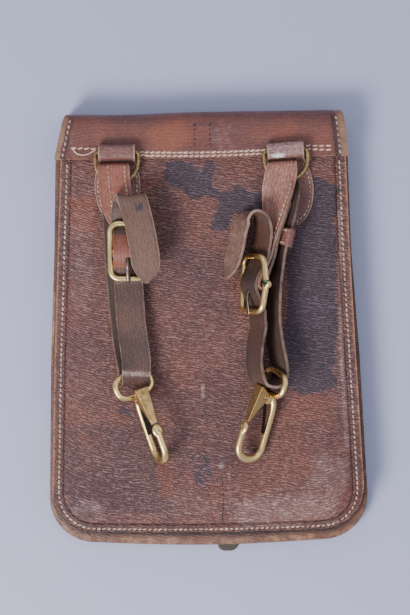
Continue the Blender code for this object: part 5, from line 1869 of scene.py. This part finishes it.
@dataclass
class Fittings:
    """Brass ring, buckle, tongue and snap hook of one side."""

    side: Side
    seat: Seat
    hook_seat: Seat
    swell: float
    knobs: tuple[float, ...] = ()
    hook: HookSize = HookSize()
    half_wide: float = 14.0
    half_long: float = 20.0
    corner: float = 6.4
    bow: float = 1.1

    def build(self) -> None:
        """Cast and place every fitting of this side."""
        side = self.side.value
        ring = cast(node_copy("d_ring_" + side, "ring_" + side), 0.00035, 8)
        settle(ring, Slot.BRASS, "dull_brass", "d_ring_" + side)
        self.buckle()
        self.tongue()
        self.snap()
        self.gate()
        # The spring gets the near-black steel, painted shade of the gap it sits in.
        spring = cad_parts["gate_spring_" + side].data.materials
        spring.clear()
        spring.append(LOOKS["spring_steel"])
        pin = node_copy("gate_pin_" + side, "hook_pin_" + side)
        apply_modifier(pin, "BEVEL", width=0.0003, segments=2, limit_method="ANGLE",
                       angle_limit=math.radians(50.0))
        smooth(pin)
        settle(pin, Slot.BRASS, "old_brass", "gate_pin_" + side)

    def buckle(self) -> None:
        """Cast the buckle: an oval-sectioned frame, bowed and swelled, with a centre bar."""
        side = self.side.value
        drawn = []
        for start, across, along in ((0, 1, 1), (90, -1, 1), (180, -1, -1), (270, 1, -1)):
            for turn in np.radians(start + np.arange(0.0, 91.0, 11.25)):
                drawn.append((across * (self.half_wide - self.corner)
                              + self.corner * math.cos(turn),
                              along * (self.half_long - self.corner)
                              + self.corner * math.sin(turn), 0.0))
        corners = np.array(drawn)
        closed = np.vstack((corners, corners[:1]))
        path, _ = spread_along(closed, 1.2)
        reach = np.abs(path[:, 1]) / self.half_long
        path[:, 0] += (np.sign(path[:, 0]) * self.swell * ridge(reach, 0.0, 0.5)
                       * (np.abs(path[:, 0]) > 6.0))
        path[:, 2] = self.bow * reach ** 2 + 0.35 * self.swell
        axes = self.seat.turn()
        rounding = 2.15 + 0.35 * self.swell * ridge(reach, 0.0, 0.4)
        thick = 1.7 + 0.3 * self.swell
        loop = oval_bar("buckle_frame_" + side, self.seat.place(path), axes[:, 2], rounding,
                        thick, True)
        ends = self.half_wide + self.swell
        bar = oval_bar("centre_bar_" + side, self.seat.place(
            np.column_stack((np.linspace(-ends, ends, 12), np.zeros(12), np.zeros(12)))),
            axes[:, 2], 1.3, 1.3, False)
        knobs = [boss("knob_" + side, self.seat.place(np.array((way * (ends + 2.0), 0.0, 0.0))),
                      axes, (2.8, 3.0, 2.6)) for way in self.knobs]
        buckle = cast(loop, 0.00033, 12, bar, *knobs)
        near = np.linalg.norm(self.seat.local(places(buckle)) - (ends + 1.0, 1.0, 1.0), axis=1)
        paint(buckle, "green", (1 - soft_step(2.0, 4.4, near)) * (self.side is Side.RIGHT))
        settle(buckle, Slot.BRASS, "old_brass", "buckle_" + side)

    def tongue(self) -> None:
        """Cast the tongue: from the centre bar, through the strap, onto the far bar."""
        side = self.side.value
        drawn = np.array(((0.0, -3.1, 0.4), (0.0, -4.2, 3.6), (0.0, -6.6, 6.1), (0.0, -10.0, 6.4),
                          (0.0, -15.0, 5.6), (0.0, -19.0, 4.8), (0.0, -21.2, 4.3)))
        path = through(drawn, 5)
        run = np.arange(len(path)) / (len(path) - 1)
        tongue = oval_bar("buckle_tongue_" + side, self.seat.place(path),
                          self.seat.turn()[:, 0], 1.2 - 0.3 * run, 1.9 - 0.4 * run, False)
        smooth(tongue, 60.0)
        settle(tongue, Slot.BRASS, "tongue_metal", "prong_" + side)

    def down(self, across: float | np.ndarray, down: float | np.ndarray,
             out: float | np.ndarray) -> np.ndarray:
        """Return points given across, down and out of the snap hook."""
        return self.hook_seat.place(np.column_stack(np.broadcast_arrays(
            across, -np.asarray(down, float), out)))

    def snap(self) -> None:
        """Cast the snap hook's body: eye, neck, spine, bend and dimpled nose."""
        side, size = self.side.value, self.hook
        axes = self.hook_seat.turn()
        turn = np.linspace(0.0, 2 * math.pi, 64, endpoint=False)
        lean = math.radians(size.eye_turn_deg) * (1 if self.side is Side.RIGHT else -1)
        wide = size.eye_half_wide * squared(np.cos(turn), 0.66)
        high = size.eye_half_high * squared(np.sin(turn), 0.72)
        across = wide * math.cos(lean) - high * math.sin(lean)
        down = wide * math.sin(lean) * 0.6 + high * math.cos(lean)
        eye = oval_bar("snap_hook_" + side, self.down(across, down, 0.0), axes[:, 2], 2.35, 2.1,
                       True)
        middle = (size.spine_v + size.tip_v) / 2
        reach = (size.tip_v - size.spine_v) / 2
        bend = [(size.bend_u + reach * math.sin(a) * 0.95, middle - reach * math.cos(a))
                for a in np.radians(np.arange(0.0, 181.0, 18.0))]
        line = through(np.array((*size.spine, *bend, (43.0, size.tip_v), (37.5, size.tip_v - 0.1))),
                       4)
        run = np.linspace(0.0, 1.0, len(line))
        full = 1.0 + 0.2 * ridge(run, 0.62, 0.16)
        spine = oval_bar("spine_" + side, self.down(0.0, line[:, 0], line[:, 1]), axes[:, 0],
                         2.45 * full, 2.6 * full, False)
        nose = boss("nose_" + side, self.down(0.0, size.nose_u, size.tip_v)[0], axes,
                    (4.3, 5.0, 2.3))
        block = boss("neck_" + side, self.down(0.0, 12.6, 2.6)[0], axes, (1.9, 4.4, 6.0))
        shoulder = boss("shoulder_" + side, self.down(0.0, 9.2, 0.6)[0], axes, (4.4, 2.6, 2.6))
        body = cast(eye, 0.0004, 6, spine, nose, block, shoulder)
        spot = self.hook_seat.local(places(body))
        dent = np.exp(-(((spot[:, 0] - 0.4) ** 2 + (-spot[:, 1] - size.nose_u + 0.4) ** 2)
                        / 1.0)) * (spot[:, 2] > size.tip_v)
        spot[:, 2] -= 0.7 * dent
        move_points(body, self.hook_seat.place(spot))
        settle(body, Slot.BRASS, "old_brass", "snap_body_" + side)

    def gate(self) -> None:
        """Cast the lever: broad over the neck, slim at the nose."""
        side = self.side.value
        gate = node_copy("snap_gate_" + side, "hook_gate_" + side)
        spot = self.hook_seat.local(places(gate))
        stops, shares = zip(*self.hook.taper)
        spot[:, 0] *= np.interp(-spot[:, 1], stops, shares)
        move_points(gate, self.hook_seat.place(spot))
        cast(gate, 0.00028, 5)
        settle(gate, Slot.BRASS, "lever_brass", "snap_gate_" + side, body=side + "_gate")


# Floor, light and camera

@dataclass(frozen=True)
class Lamp:
    """A soft panel light."""

    name: str
    place: tuple[float, float, float]
    size: float
    watts: float
    color: Rgb


@dataclass
class Studio:
    """Pale floor, soft lights and the camera straight above."""

    height: float = 1.5
    frame_height: float = 0.4557
    sensor: float = 36.0
    turn_deg: float = 0.78
    centre: tuple[float, float] = (-0.76, 17.3)
    lamps: tuple[Lamp, ...] = (
        Lamp("key", (-0.74, -0.8, 1.05), 0.6, 28.5, (1.0, 0.98, 0.96)),
        Lamp("fill", (1.0, 0.2, 1.6), 1.2, 5.5, (0.95, 0.97, 1.0)),
        Lamp("back", (-0.3, 1.3, 1.4), 1.0, 4.0, (0.97, 0.98, 1.0)),
    )

    def build(self) -> None:
        """Set up the floor, the world, the lamps and the camera."""
        self.floor()
        world = bpy.data.worlds.new("studio")
        world.use_nodes = True
        sky = world.node_tree.nodes["Background"].inputs
        sky["Color"].default_value = (0.78, 0.84, 1.0, 1.0)
        sky["Strength"].default_value = 0.6
        bpy.context.scene.world = world
        for lamp in self.lamps:
            self.light(lamp)
        self.camera()

    def floor(self) -> None:
        """Lay the pale floor."""
        deselect()
        bpy.ops.mesh.primitive_plane_add(size=4.0, location=(0.0, 0.0, -0.0001))
        floor = bpy.context.active_object
        floor.name = "floor"
        material, recipe, place = new_material("pale_paper")
        shader = material.node_tree.nodes["Principled BSDF"]
        tint = recipe.mix(recipe.noise(place, 3.0, 2.0), (0.437, 0.460, 0.64), (0.466, 0.482, 0.66))
        recipe.feed(shader.inputs["Base Color"], tint)
        shader.inputs["Roughness"].default_value = 0.9
        floor.data.materials.append(material)

    def light(self, lamp: Lamp) -> None:
        """Hang one lamp so that it looks at the case."""
        deselect()
        bpy.ops.object.light_add(type="AREA", location=lamp.place)
        made = bpy.context.active_object
        made.name = lamp.name
        made.data.size = lamp.size
        made.data.energy = lamp.watts
        made.data.color = lamp.color
        made.rotation_euler = (-Vector(lamp.place)).to_track_quat("-Z", "Y").to_euler()

    def camera(self) -> None:
        """Hang the camera where the photo was taken from, looking straight down."""
        x, y = (self.centre[i] + FRAME_SHIFT[i] for i in range(2))
        deselect()
        bpy.ops.object.camera_add(location=(x * MM, y * MM, self.height))
        camera = bpy.context.active_object
        camera.rotation_euler = (0.0, 0.0, -math.radians(self.turn_deg))
        camera.data.sensor_fit = "AUTO"
        camera.data.sensor_width = self.sensor
        camera.data.lens = self.sensor * self.height / self.frame_height
        bpy.context.scene.camera = camera


def main() -> None:
    """Build the whole case and the studio round it."""
    logging.basicConfig(level=logging.INFO, format="%(name)s: %(message)s")
    fill_looks()
    Studio().build()
    CaseBody().build()
    RingPatch(Side.LEFT, -63.3, 0.0, 0.0).build()
    RingPatch(Side.RIGHT, 59.2, 4.0, 0.09, 1.0, 0.95).build()
    Strap(Side.LEFT, left_stations(), (7, 21), (13, 18), 32, 46).build()
    right = Strap(Side.RIGHT, right_stations(), (7, 21), (13, 17), 36, 50, (("outer", 0.8, 43),),
                  chape_rub_and_sheen=0.85, front_dark=0.35, free_end_lit=0.65, gloss=0.0,
                  red=(60.0, 61.0), ink=(13.9, -0.35, 1.0))
    right.build()
    Keeper(right).build()
    Fittings(Side.LEFT, LEFT_SEAT, LEFT_HOOK, 0.0, half_wide=12.8).build()
    Fittings(Side.RIGHT, RIGHT_SEAT, RIGHT_HOOK, 1.8, (1.0, -1.0)).build()


if __name__ == "__main__":
    main()
